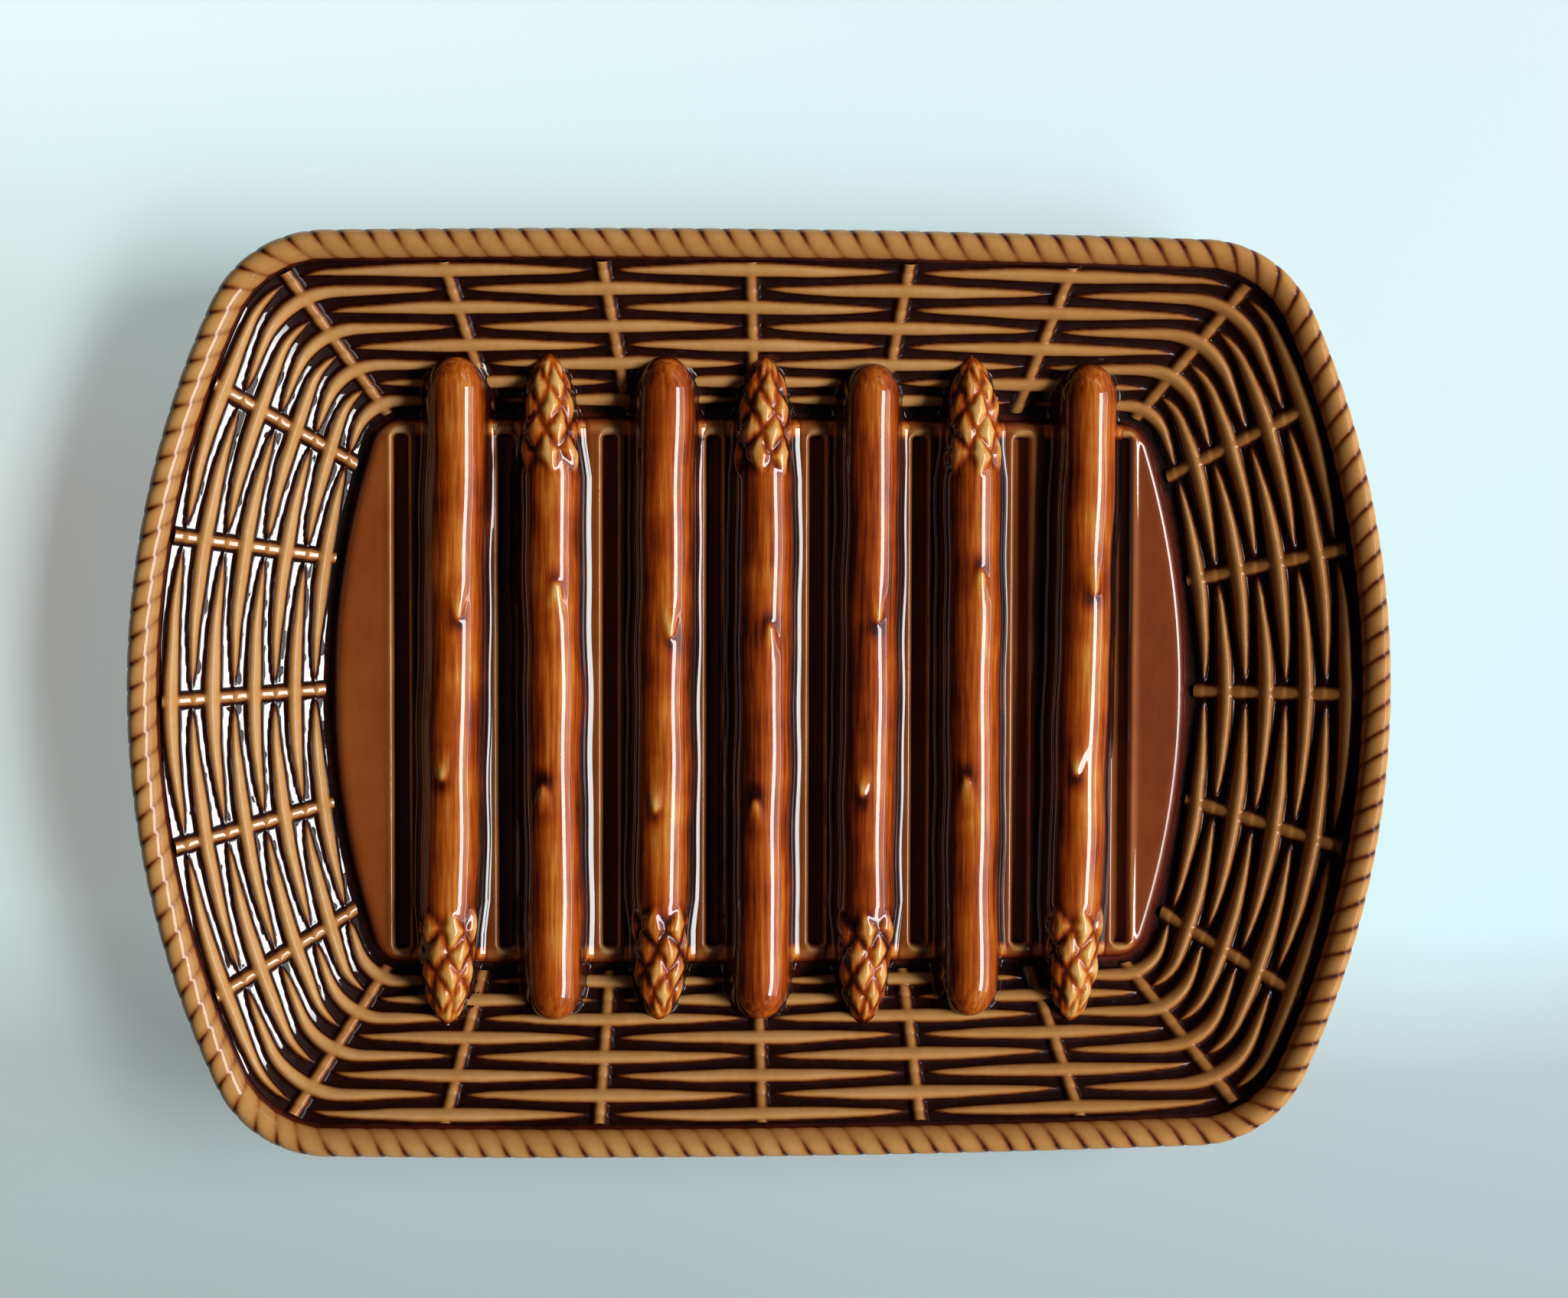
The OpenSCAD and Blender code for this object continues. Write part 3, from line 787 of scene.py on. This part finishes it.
def glaze_on_panel():
    """Thin on the edges of the slots, thick against the spears and the rim, with painted light and shade on
    the lips, across the panel and in the slots.
    """
    edge_w = 1.2 * MM
    rim_w = 2.6 * MM
    to_spear = np.min([np.abs(panel_x - spear_x(i, panel_y)) for i in range(SPEARS)], axis=0) - spear_r
    slot = slot_distance(panel_x, panel_y)
    inside = panel.depth(panel_x, panel_y)
    # The lip on the right of each slot is painted lighter, as a painted sheen, and the lip on its left
    # darker, as painted shade.
    lit_lip_side = np.clip((panel_x - slot_x[np.abs(panel_x[..., None] - slot_x).argmin(-1)]) / slot_w, -1, 1)
    thin = 0.5 + (0.44 + 0.3 * lit_lip_side) * np.exp(-((slot - edge_w) / edge_w) ** 2)
    past_slots = fade(np.abs(panel_y) - slot_l / 2, 2 * MM)
    thin = np.minimum(thin, 0.78) + 0.2 * past_slots
    thin *= np.clip((to_spear - 0.8 * MM) / (2.2 * MM), 0.1, 1)
    thin *= fade(inside, rim_w) ** 0.7
    # The panel is painted lighter towards its left end and darker towards its right, as a painted
    # reflection on the left end.
    thin -= 0.1 * panel_x / half_l
    # The slot floors are painted lighter than their walls, as painted light reaching down into them.
    return np.where(slot < 0.2 * MM, np.where(slot < -0.3 * MM, 0.65, 0.3), thin)


at_rim = fade(1.5 - panel.depth(panel_x, panel_y) / (3 * MM))
panel_dull = at_rim * np.clip(0.62 - panel_y / (120 * MM), 0.45, 0.85)
panel_normals = -grid_normals(panel_points, False)
pieces["drainer_panel"] = build_piece("slotted_panel", panel_points, grid_cells(panel_x, False)[..., ::-1],
                                      russet_glaze, panel_normals, thin=glaze_on_panel(), dull=panel_dull)
print("panel piece:", len(pieces["drainer_panel"].data.polygons), "cells")

# %% [markdown]
# ## The shell
# Under the relief is the dish itself: floor, flared wall, lip and underside.
# It is skinned from rings, like a pot built from coils, starting in the
# middle of the underside, going out and over the lip, and back down to the
# middle of the floor. Just under the weave it stays a hair lower, so that the
# two surfaces never fight.

# %% Rings of the shell
SHELL_STEPS = STAKES * 20
shell_k = np.arange(SHELL_STEPS) * STAKES / SHELL_STEPS
slope = math.atan2(lip_z - floor_z, half_w - wall_inset - panel.half_w - groove_w)
under_out, under_drop = wall_t * math.sin(slope), wall_t * math.cos(slope)
floor_shrinks = (0.97, 0.7, 0.35, 0.004)


def level(outline, shares, inset, z, shrink=1.0):
    """One ring at a height, some way inside an outline."""
    flat, _ = outline.at(spot(shares, shell_k), inset)
    return np.concatenate([flat * shrink, np.full((SHELL_STEPS, 1), z)], -1)


def quarter(radius):
    """Steps round a corner: how far they stay off its two sides."""
    return [(radius * (1 - math.sin(a)), radius * (1 - math.cos(a))) for a in np.radians([0, 30, 60, 90])]


def shell_rings():
    """Rings of the outside up to the lip, and of the inside down again."""
    foot = (panel, stake_foot_shares)
    edge = (rim, stake_rim_shares)
    hair = 0.35 * MM
    lip_r = 1.2 * MM
    lip_inset = 1 * MM
    outer = [level(*foot, -under_out, foot_h, shrink) for shrink in (0.004, 0.3, 0.6, 0.85, 0.97)]
    outer += [level(*foot, -under_out + 1.2 * MM, foot_h), level(*foot, -under_out, foot_h + 0.25 * MM)]
    outer += [level(*edge, wall_inset - under_out + d, lip_z - under_drop - d * 0.5)
              for d in (2 * MM, 0.6 * MM)]
    outer += [level(*edge, wall_inset - under_out - 1.5 * MM, lip_z - under_drop + 0.2 * MM)]
    outer += [level(*edge, lip_inset + d, lip_z - lip_t + e) for d, e in quarter(lip_r)]
    outer += [level(*edge, lip_inset + e, lip_z - d) for d, e in quarter(lip_r)]
    inner = wall_points(shell_k[None].repeat(7, 0), np.linspace(0.995, 0.02, 7)[:, None] + 0 * shell_k)
    inner[..., 2] -= hair
    bend = [level(*foot, -groove_w + d, z) for d, z in ((0.3 * MM, floor_z + 0.12 * MM), (1 * MM, floor_z))]
    floor = [level(*foot, 0, floor_z, shrink) for shrink in floor_shrinks]
    return outer, list(inner) + bend + floor


outer_rings, inner_rings = shell_rings()
rings = np.array(outer_rings + inner_rings)
ring_no = np.arange(len(rings))[:, None] + np.zeros(rings.shape[:2])
print("shell:", rings.shape[0], "rings of", rings.shape[1], "points")

# %% [markdown]
# Outside, the glaze has run down the flare and lies thin and even, with
# little shine. Inside, what shows of the shell is the bottom of the groove
# and of the slots, where it has pooled to near black.

# %% The shell and its foot
outside = ring_no < len(outer_rings)
on_floor = ring_no >= len(rings) - len(floor_shrinks)
shell_thin = np.where(outside, 0.58, np.where(on_floor, 0.35, 0.0))
shell_dull = np.where(outside, 0.78, 0.0)
pieces["dish_shell"] = build_piece("dish_body", rings, grid_cells(rings, True)[..., ::-1], dark_glaze,
                                   thin=shell_thin, dull=shell_dull)


def foot_rings():
    """The foot ring's section, carried round: flat below, rounded edges."""
    corner = 0.9 * MM
    outer = [(foot_inset + d, e) for d, e in quarter(corner)]
    inner = [(foot_inset + foot_w - d, e) for d, e in quarter(corner)]
    section = [(foot_inset, foot_h)] + outer[::-1] + inner + [(foot_inset + foot_w, foot_h)]
    section.append(section[0])
    return np.array([level(panel, stake_foot_shares, inset, z) for inset, z in section])


foot_points = foot_rings()
pieces["foot_ring"] = build_piece("bare_foot", foot_points, grid_cells(foot_points, True), foot_clay)
print("foot ring stands on z =", foot_points[..., 2].min())

# %% [markdown]
# ## The asparagus spears
# Each spear is a stalk with two pointed leaf scales and a head of
# overlapping scales, pressed from a mould, so its sides run straight down
# into a soft fillet of glaze. A tube would leave a hard crease underneath.
# Here a grid of points is laid over each spear: across the round of the
# stalk, then out over the fillet. The height at each point is the spear's
# own, or that of whatever lies beneath, joined smoothly. A ray from above
# finds what lies beneath, so the spears' ends melt into the woven wall.


# %% What lies beneath
def surface_below(points, cells):
    """A tree of faces that a ray can look for."""
    return BVHTree.FromPolygons(points.reshape(-1, 3).tolist(), cells.reshape(-1, 4).tolist())


wall_tree = surface_below(wall, wall_cells)
down = mathutils.Vector((0, 0, -1))


def bed_height(x, y):
    """Height of the panel, the floor or the weave at each point."""
    height = np.maximum(panel_height(x, y, 0), floor_z)
    far_out = panel.depth(x, y) < -0.5 * groove_w
    for at in np.argwhere(far_out):
        hit = wall_tree.ray_cast(mathutils.Vector((x[tuple(at)], y[tuple(at)], 0.1)), down)
        if hit[0] is not None:
            height[tuple(at)] = hit[0].z
    return height


print("bed at the middle and on the wall:",
      (bed_height(np.array([0.05, 0.05]), np.array([0.0, 0.1])) / MM).round(2).tolist(), "mm")

# %% [markdown]
# The scales of the head fit together as diamonds, each row half a scale
# round from the last. A scale is cushioned and stands highest towards the
# tip of the spear, and glaze gathers in the creases between the scales.

# %% Scales
head_l = 38 * MM
scale_rows = 5
scale_row_l = 6.9 * MM
scale_angle = math.radians(52)
scale_rise = 1.7 * MM
bract_l = 12 * MM
bract_rise = 1.3 * MM
bract_shares = [[0.33, 0.57], [0.3, 0.6], [0.36, 0.62], [0.28, 0.54],
                [0.33, 0.59], [0.31, 0.62], [0.29, 0.56]]


def head_scales(from_tip, angle, spin):
    """Diamond scales of the head, each thickest towards its tip end."""
    height = np.zeros(from_tip.shape)
    angle = angle + 0.11 * np.sin(from_tip / (3.3 * MM) + 9 * spin)
    from_tip = from_tip + 0.7 * MM * np.sin(3.7 * angle + 20 * spin)
    for row in range(scale_rows):
        down = (from_tip - (3.2 * MM + row * scale_row_l)) / scale_row_l
        first = spin + (row % 2) * scale_angle / 2
        side = np.mod(angle - first + scale_angle / 2, scale_angle) - scale_angle / 2
        edge = np.abs(down) + np.abs(side) / (scale_angle / 2)
        body = (1 - fade(edge) ** 2.4) * (1 - 0.25 * down)
        height = np.maximum(height, body * scale_rise * (0.72 + 0.07 * row))
    bud = rounded(1 - from_tip / (5 * MM), 2)
    return np.maximum(height, 0.7 * scale_rise * bud)


def stalk_bracts(go, angle, i):
    """Two small pointed leaves along the stalk, and the shade past their tips."""
    height = np.zeros(go.shape)
    shade = np.zeros(go.shape)
    for share, turn in zip(bract_shares[i], (-14, 12)):
        v = fade(go - share * spear_l, bract_l)
        side = np.abs(angle - math.radians(turn))
        half = math.radians(24) * np.sqrt(1 - v) * fade(v * 3) ** 0.5 + 1e-4
        body = fade(1 - (side / half) ** 2.5) * v**1.4 * (v < 1)
        height = np.maximum(height, bract_rise * body)
        past = (go - share * spear_l - bract_l - 1.5 * MM) / (3.2 * MM)
        shade = np.maximum(shade, np.exp(-past**2 - (side / math.radians(20)) ** 2))
    return height, shade


print("scales:", scale_rows, "rows,", round(scale_row_l / MM, 1), "mm apart")

# %% [markdown]
# The radius of a spear runs from a rounded butt, through an even stalk, to a
# head that swells a little and then draws in to a blunt point.


# %% One spear
end_l = 10 * MM
butt_l = 13 * MM
point_l = 6 * MM
fillet_w = 3.6 * MM
ramp_h = 1.5 * MM
join_r = 1.6 * MM
sway_h = 0.16 * MM
weave_dip = 2.2 * MM
tuck = 0.12 * MM
glaze_shares = np.array([0.04, 0.01, -0.02, -0.06, -0.06, 0.01, 0.02])


def spear_radius(go):
    """Radius of the stalk and head, at places from the butt to the tip."""
    butt = rounded(go / butt_l, 2.3)
    into_head = fade(go - (spear_l - head_l), head_l)
    head = (1 - 0.06 * into_head) * (1 - into_head**4.5) ** 0.72
    return spear_r * butt * head


def spear_grid():
    """Places along a spear and across it, as far as the fillet's foot."""
    ends = (1 - np.cos(np.linspace(0, np.pi / 2, 22))) * end_l
    head_start = spear_l - head_l - 2 * MM
    stalk = np.arange(end_l, head_start, 0.62 * MM)
    head = np.arange(head_start, spear_l - point_l, 0.36 * MM)
    tip = spear_l - point_l * (1 - np.sin(np.linspace(0, np.pi / 2, 22)))
    go = np.unique(np.round(np.concatenate([ends, stalk, head, tip]), 7))
    angle = np.radians(np.linspace(-90, 90, 61))
    skirt = np.linspace(0, 1, 11)[1:] ** 1.3
    lateral = np.concatenate([-1 - skirt[::-1], angle / (np.pi / 2), 1 + skirt])
    return np.meshgrid(go, lateral, indexing="ij")


def make_spear(i):
    """Points of spear i, and how thin and how dull its glaze is; the thinness also holds painted light and
    shade.
    """
    go, lateral = spear_grid()
    angle = np.clip(lateral, -1, 1) * np.pi / 2
    skirt = np.maximum(np.abs(lateral) - 1, 0)
    from_tip = spear_l - go
    scales = head_scales(from_tip, angle, math.radians(9 * (i % 3) - 9))
    bracts, shade = stalk_bracts(go, angle, i)
    rise = np.maximum(scales, bracts)
    rise = soften(rise, (1.2, 1.4), False) * fade(2.2 * np.cos(angle))
    drop = 0.62 * scale_rise * fade(head_l - from_tip, 10 * MM)
    sway = sway_h * (np.sin(go / (5.5 * MM) + 2.1 * i) + np.sin(go / (9.3 * MM) + i + 1.5 * angle))
    radius = spear_radius(go)
    radius = np.maximum(radius * (1 + sway / spear_r) - drop + rise * fade(radius, 4 * MM), 0)
    across = radius * np.sin(angle) + np.sign(lateral) * skirt * fillet_w
    y = tip_way[i] * (go - spear_l / 2) + spear_shift_shares[i] * spear_l
    x = spear_x(i, y) + tip_way[i] * across
    bed = bed_height(x, y)
    on_weave = fade(-panel.depth(x, y), groove_w)
    bed = bed + (soften(bed, (3, 1.5), False) - bed) * on_weave
    crest = axis_z + radius * np.cos(angle)
    joined = smooth_max(crest, bed, join_r)
    over = joined - bed
    ramp = np.minimum(ramp_h, over)
    z = bed + (over - ramp) * fade(1 - skirt / 0.5) ** 2.2 + ramp * (1 - skirt) ** 1.15
    z -= weave_dip * on_weave * skirt**1.5
    proud = z - bed
    z = np.where(proud < 0.02 * MM, bed - tuck, z)
    points = np.stack([x, y, z], -1)
    hollow = soften(rise, (4, 3), False) - rise
    # Painted light and shade: thin falls off down both flanks, for glaze gathering towards the foot, and
    # peaks a little right of the crest, so the right side is painted lighter as lit and the left flank
    # darker as shaded.
    lit_crest = fade(np.cos(angle - 0.3 * tip_way[i]))
    thin = 0.02 + 0.61 * lit_crest**1.6 * fade(proud, 3 * MM)
    thin = thin - 1.8 * hollow / scale_rise - 0.3 * shade
    on_head = fade(1.6 - 1.6 * from_tip / head_l)
    thin += (0.14 * on_head + glaze_shares[i]) * lit_crest
    at_end = fade(np.abs(y) - slot_l / 2 + 1 * MM, 2 * MM)
    at_end = 0.8 * at_end * fade(panel.depth(x, y), 2.6 * MM) * fade(skirt * 2.5)
    thin = np.where(skirt > 0, np.maximum(thin * (1 - skirt) ** 1.5, at_end), thin)
    return points, fade(thin), np.where(skirt > 0, 0.35, (0.35 + 0.35 * on_head) * lit_crest)


for i in range(SPEARS):
    spear_points, spear_thin, spear_dull = make_spear(i)
    rows, width = spear_thin.shape
    starts = np.arange(rows - 1) * width
    under = np.stack([starts + width, starts + 2 * width - 1, starts + width - 1, starts], -1)
    cells = np.concatenate([grid_cells(spear_thin, False).reshape(-1, 4), under])
    if tip_way[i] > 0:
        cells = cells[:, ::-1]
    pieces[f"asparagus_spear_{i + 1}"] = build_piece(
        f"spear_{i + 1}", spear_points, cells, amber_glaze, thin=spear_thin, dull=spear_dull)
print("spear points:", spear_thin.size, "each")

# %% [markdown]
# ## The rope edge
# The rim is finished with a rope of clay, twisted and pressed down on the
# lip. A rope is a circle carried along a path, with grooves that wind round
# it, so Geometry Nodes make it: the path goes in as a ring of edges, a circle
# is swept along it, and each point is pulled in where a groove passes. The
# grooves are found from two numbers, how far round the plate a point is and
# how far round the rope.

# %% The rope tree
ROPE_GROOVES = 152
ROPE_INLETS = [("Thickness", rope_d), ("Groove Count", float(ROPE_GROOVES)), ("Strands", 2.0),
               ("Groove Depth", 0.45 * MM), ("Crest Lean", 0.25), ("Lip Height", lip_z)]


def rope_maker():
    """The rule of the rope: sweeps it along its path and cuts its grooves."""
    desk, inlet = begin_tree("twisted rope", ROPE_INLETS)
    radius = inlet["Thickness"] * 0.5
    path = desk.add("GeometryNodeMeshToCurve", {}, {"Mesh": inlet["Geometry"]})
    upright = desk.add("GeometryNodeSetCurveNormal", {"mode": "Z_UP"}, {"Curve": path})
    circle = desk.add("GeometryNodeCurvePrimitiveCircle", {}, {"Resolution": 30, "Radius": radius})
    tube = desk.add("GeometryNodeCurveToMesh", {}, {"Curve": upright, "Profile Curve": circle})
    place = desk.add("GeometryNodeInputPosition", {}, {})
    from_core = desk.vectors("SUBTRACT", {0: place, 1: read(desk, "core", "FLOAT_VECTOR")})
    side = desk.vectors("DOT_PRODUCT", {0: from_core, 1: read(desk, "side", "FLOAT_VECTOR")}, "Value")
    up = desk.part(from_core, "Z")
    turn = desk.maths("ARCTAN2", up, side) / (2 * math.pi)
    wobble = desk.noise(place, scale=60.0, detail=0.0, seed=inlet["Seed"])
    phase = read(desk, "way") * inlet["Groove Count"] + turn * inlet["Strands"] + (wobble - 0.5) * 0.35
    to_groove = 2 * abs(desk.maths("FRACT", phase) - 0.5)
    to_right = desk.clamp(desk.part(place, "X") * 6)
    outer = desk.clamp(0.42 + side / inlet["Thickness"] * 1.4 + 0.5 * to_right, 0.12, 1.0)
    bite = 0.25 * to_groove ** 2 + 0.75 * to_groove ** 8 * outer
    pull = -1 * inlet["Groove Depth"] * bite / radius
    shift = desk.vectors("SCALE", {0: from_core, "Scale": pull})
    lean = desk.maths("MAXIMUM", up, 0.0) * ((1 + inlet["Crest Lean"] * side / radius) / 1.03 - 1)
    rise = desk.add("ShaderNodeCombineXYZ", {}, {"Z": lean})
    shift = desk.vectors("ADD", {0: shift, 1: rise})
    grooved = desk.add("GeometryNodeSetPosition", {}, {"Geometry": tube, "Offset": shift})
    seat = desk.add("ShaderNodeCombineXYZ", {}, {
        "X": desk.part(place, "X"), "Y": desk.part(place, "Y"),
        "Z": desk.maths("MAXIMUM", desk.part(place, "Z"), inlet["Lip Height"])})
    seated = desk.add("GeometryNodeSetPosition", {}, {"Geometry": grooved, "Position": seat})
    high = desk.clamp((up / inlet["Thickness"] + 0.3) * 2.4)
    # Painted shade: towards the right end the rope is painted darker and its grooves less dark.
    shed = 0.04 - 0.08 * to_right + 0.2 * side / inlet["Thickness"] - 0.1 * to_groove ** 2
    shed = shed - to_groove ** 4 * (0.08 + 0.87 * outer) * (1 - 0.35 * to_right)
    thin = desk.clamp(0.76 * high ** 0.8 + shed)
    glazed = store(desk, seated, "thin", thin)
    glazed = store(desk, glazed, "dull", high * (0.65 + 0.25 * to_right))
    return end_tree(desk, glazed, inlet["Material"])


rope_tree = rope_maker()
print("rope tree:", len(rope_tree.nodes), "nodes, inputs", list(dict(ROPE_INLETS)))


# %% The rope
def rope_path(count):
    """A ring of edges along the rope's core, with what the tree reads."""
    way = np.arange(count) / count
    flat, out = rim.at(way, rope_d / 2)
    core = np.concatenate([flat, np.full((count, 1), plate_h - rope_d / 2)], -1)
    mesh = bpy.data.meshes.new("rope_path")
    mesh.from_pydata(core.tolist(), [(n, (n + 1) % count) for n in range(count)], [])
    write_layer(mesh, "core", core)
    write_layer(mesh, "side", np.concatenate([out, np.zeros((count, 1))], -1))
    write_layer(mesh, "way", way)
    return add_object("rope_path", mesh)


rope_mesh = run_tree(rope_path(ROPE_GROOVES * 15), rope_tree, seed=4)
rope_mesh.shade_smooth()
pieces["rope_edge"] = add_object("rope_rim", rope_mesh)
rope_points = read_layer(rope_mesh, "position", "vector", 3).reshape(-1, 3)
print("rope:", len(rope_mesh.polygons), "faces, from", (rope_points.min(0) / MM).round(1), "to",
      (rope_points.max(0) / MM).round(1), "mm")

# %% [markdown]
# ## Joining the pieces to the frame
# Every piece stands for one node of the imported model, rides on its only
# body and hides that node.

# %% Ride and replace
for node, piece in pieces.items():
    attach(piece, "root")
    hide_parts(node)
faces = sum(len(piece.data.polygons) for piece in pieces.values())
print(len(pieces), "pieces,", faces, "four-cornered faces")

# %% [markdown]
# ## Table, light and camera
# The plate lies on a pale table with a window to its right. The window's
# bright top draws the sharp white line down each spear and the zigzags
# between the strands. Its dimmer pane and sill give the milky sides, and two
# faint lamps, far and near, lift the ends. The room gets darker towards the
# ceiling, because a bright one would turn the black hollows grey.
# The table is pale blue. Its colour is painted a little greyer towards the
# front and a little darker towards the right, as painted falloff of the
# light. Part of its colour glows for the eye and in reflections, and more of
# it towards the back left, so that it stays pale in weak light, while the
# plate's shadow still falls on it. Where that shadow falls, left of the
# plate, the glow is painted a warmer grey.


# %% Table
def make_table():
    """A pale plane under the plate, which belongs to the stage."""
    material, desk = new_material("pale_table")
    place = desk.add("ShaderNodeTexCoord", {}, {}, "Object")
    across, up = desk.part(place, "X"), desk.part(place, "Y")
    level = desk.clamp((up + 0.2) / 0.4 + (desk.noise(place, scale=3.0, detail=2.0) - 0.5) * 0.2)
    stops = [(0.0, "#B9C7C8"), (0.2, "#C2D3D4"), (0.32, "#E0FFFF"), (1.0, "#EAFFFF")]
    colour = desk.add("ShaderNodeValToRGB", {"stops": stops}, {"Fac": level})
    # Painted falloff of the light: greyer towards the front, a little darker towards the right.
    toward = desk.clamp(across * 2 + 0.5)
    colour = desk.tint(colour, "#F4F5FA", toward)
    shader = desk.add("ShaderNodeBsdfPrincipled", {}, {"Base Color": colour, "Roughness": 0.6})
    rays = [desk.add("ShaderNodeLightPath", {}, {}, kind)
            for kind in ("Is Camera Ray", "Is Glossy Ray", "Is Transmission Ray")]
    seen = desk.clamp(sum(rays))
    # Painted shadow tint: left of the plate, where its shadow falls, the glow is painted a warmer grey.
    shadow = desk.clamp(-0.8 - 8 * across) * desk.clamp(1.6 - 10 * abs(up))
    glow = desk.add("ShaderNodeEmission", {}, {"Color": desk.tint(colour, "#FFE3DE", shadow)})
    far = desk.clamp((up - 0.12) * 12) * (1 - 0.8 * toward * toward)
    mixed = desk.add("ShaderNodeMixShader", {}, {"Fac": seen * (0.42 + 0.45 * far), 1: shader, 2: glow})
    desk.add("ShaderNodeOutputMaterial", {}, {"Surface": mixed})
    reach = 3.0
    mesh = bpy.data.meshes.new("table")
    corners = [(x * reach, y * reach, 0) for x, y in ((-1, -1), (1, -1), (1, 1), (-1, 1))]
    mesh.from_pydata(corners, [], [(0, 1, 2, 3)])
    mesh.materials.append(material)
    add_object("table", mesh)


make_table()
print("table laid")


# %% Lights
def add_window(name, place, size, power):
    """A rectangle of white light that faces the plate."""
    lamp = bpy.data.lights.new(name, "AREA")
    lamp.shape = "RECTANGLE"
    lamp.size, lamp.size_y = size
    lamp.energy = power
    holder = add_object(name, lamp)
    holder.location = place
    aim = mathutils.Vector((0, 0, 0.02)) - mathutils.Vector(place)
    holder.rotation_euler = aim.to_track_quat("-Z", "Y").to_euler()


add_window("window_top", (2.13, -0.3, 2.06), (2.8, 0.7), 106)
add_window("window_pane", (2.66, -0.3, 1.33), (2.8, 1.0), 14)
add_window("window_sill", (2.85, -0.3, 0.79), (2.8, 0.12), 8)
add_window("window_far", (1.6, 2.0, 1.6), (1.3, 0.5), 3)
add_window("window_near", (1.6, -2.0, 1.6), (1.3, 0.5), 1.5)
print("lights:", list(bpy.data.lights.keys()))

# %% The room
world = bpy.data.worlds.new("room")
bpy.context.scene.world = world
world.use_nodes = True
room = Desk(world.node_tree)
way = room.add("ShaderNodeTexCoord", {}, {}, "Generated")
dark = room.clamp(room.part(way, "Z") + 0.35 - 0.35 * room.part(way, "X"))
room_stops = [(0.0, "#A2ACB0"), (0.4, "#5A6164"), (0.8, "#1E2021"), (1.0, "#161819")]
shade = room.add("ShaderNodeValToRGB", {"stops": room_stops}, {"Fac": dark})
sky = room.add("ShaderNodeBackground", {}, {"Color": shade, "Strength": 1.0})
room.add("ShaderNodeOutputWorld", {}, {"Surface": sky})
bpy.context.scene.view_settings.view_transform = "Standard"
print("room:", len(room.tree.nodes), "nodes")

# %% [markdown]
# The camera looks almost straight down. Its place and tilt were found by
# matching the rim and the panel of the photograph, which shift against each
# other as the eye moves. Its focal length is in the photograph's own pixels.

# %% Camera
sensor_w = 36.0
photo_w = 2048
photo_focal = 3000
camera_data = bpy.data.cameras.new("camera")
camera_data.sensor_width = sensor_w
camera_data.lens = photo_focal / photo_w * sensor_w
camera_data.clip_start = 0.01
camera = add_object("camera", camera_data)
camera.location = (-37.2 * MM, 39.9 * MM, 722.6 * MM)
camera.rotation_euler = tuple(math.radians(a) for a in (-2.15, -3.46, 0.14))
bpy.context.scene.camera = camera
print("camera:", round(camera_data.lens, 2), "mm lens")
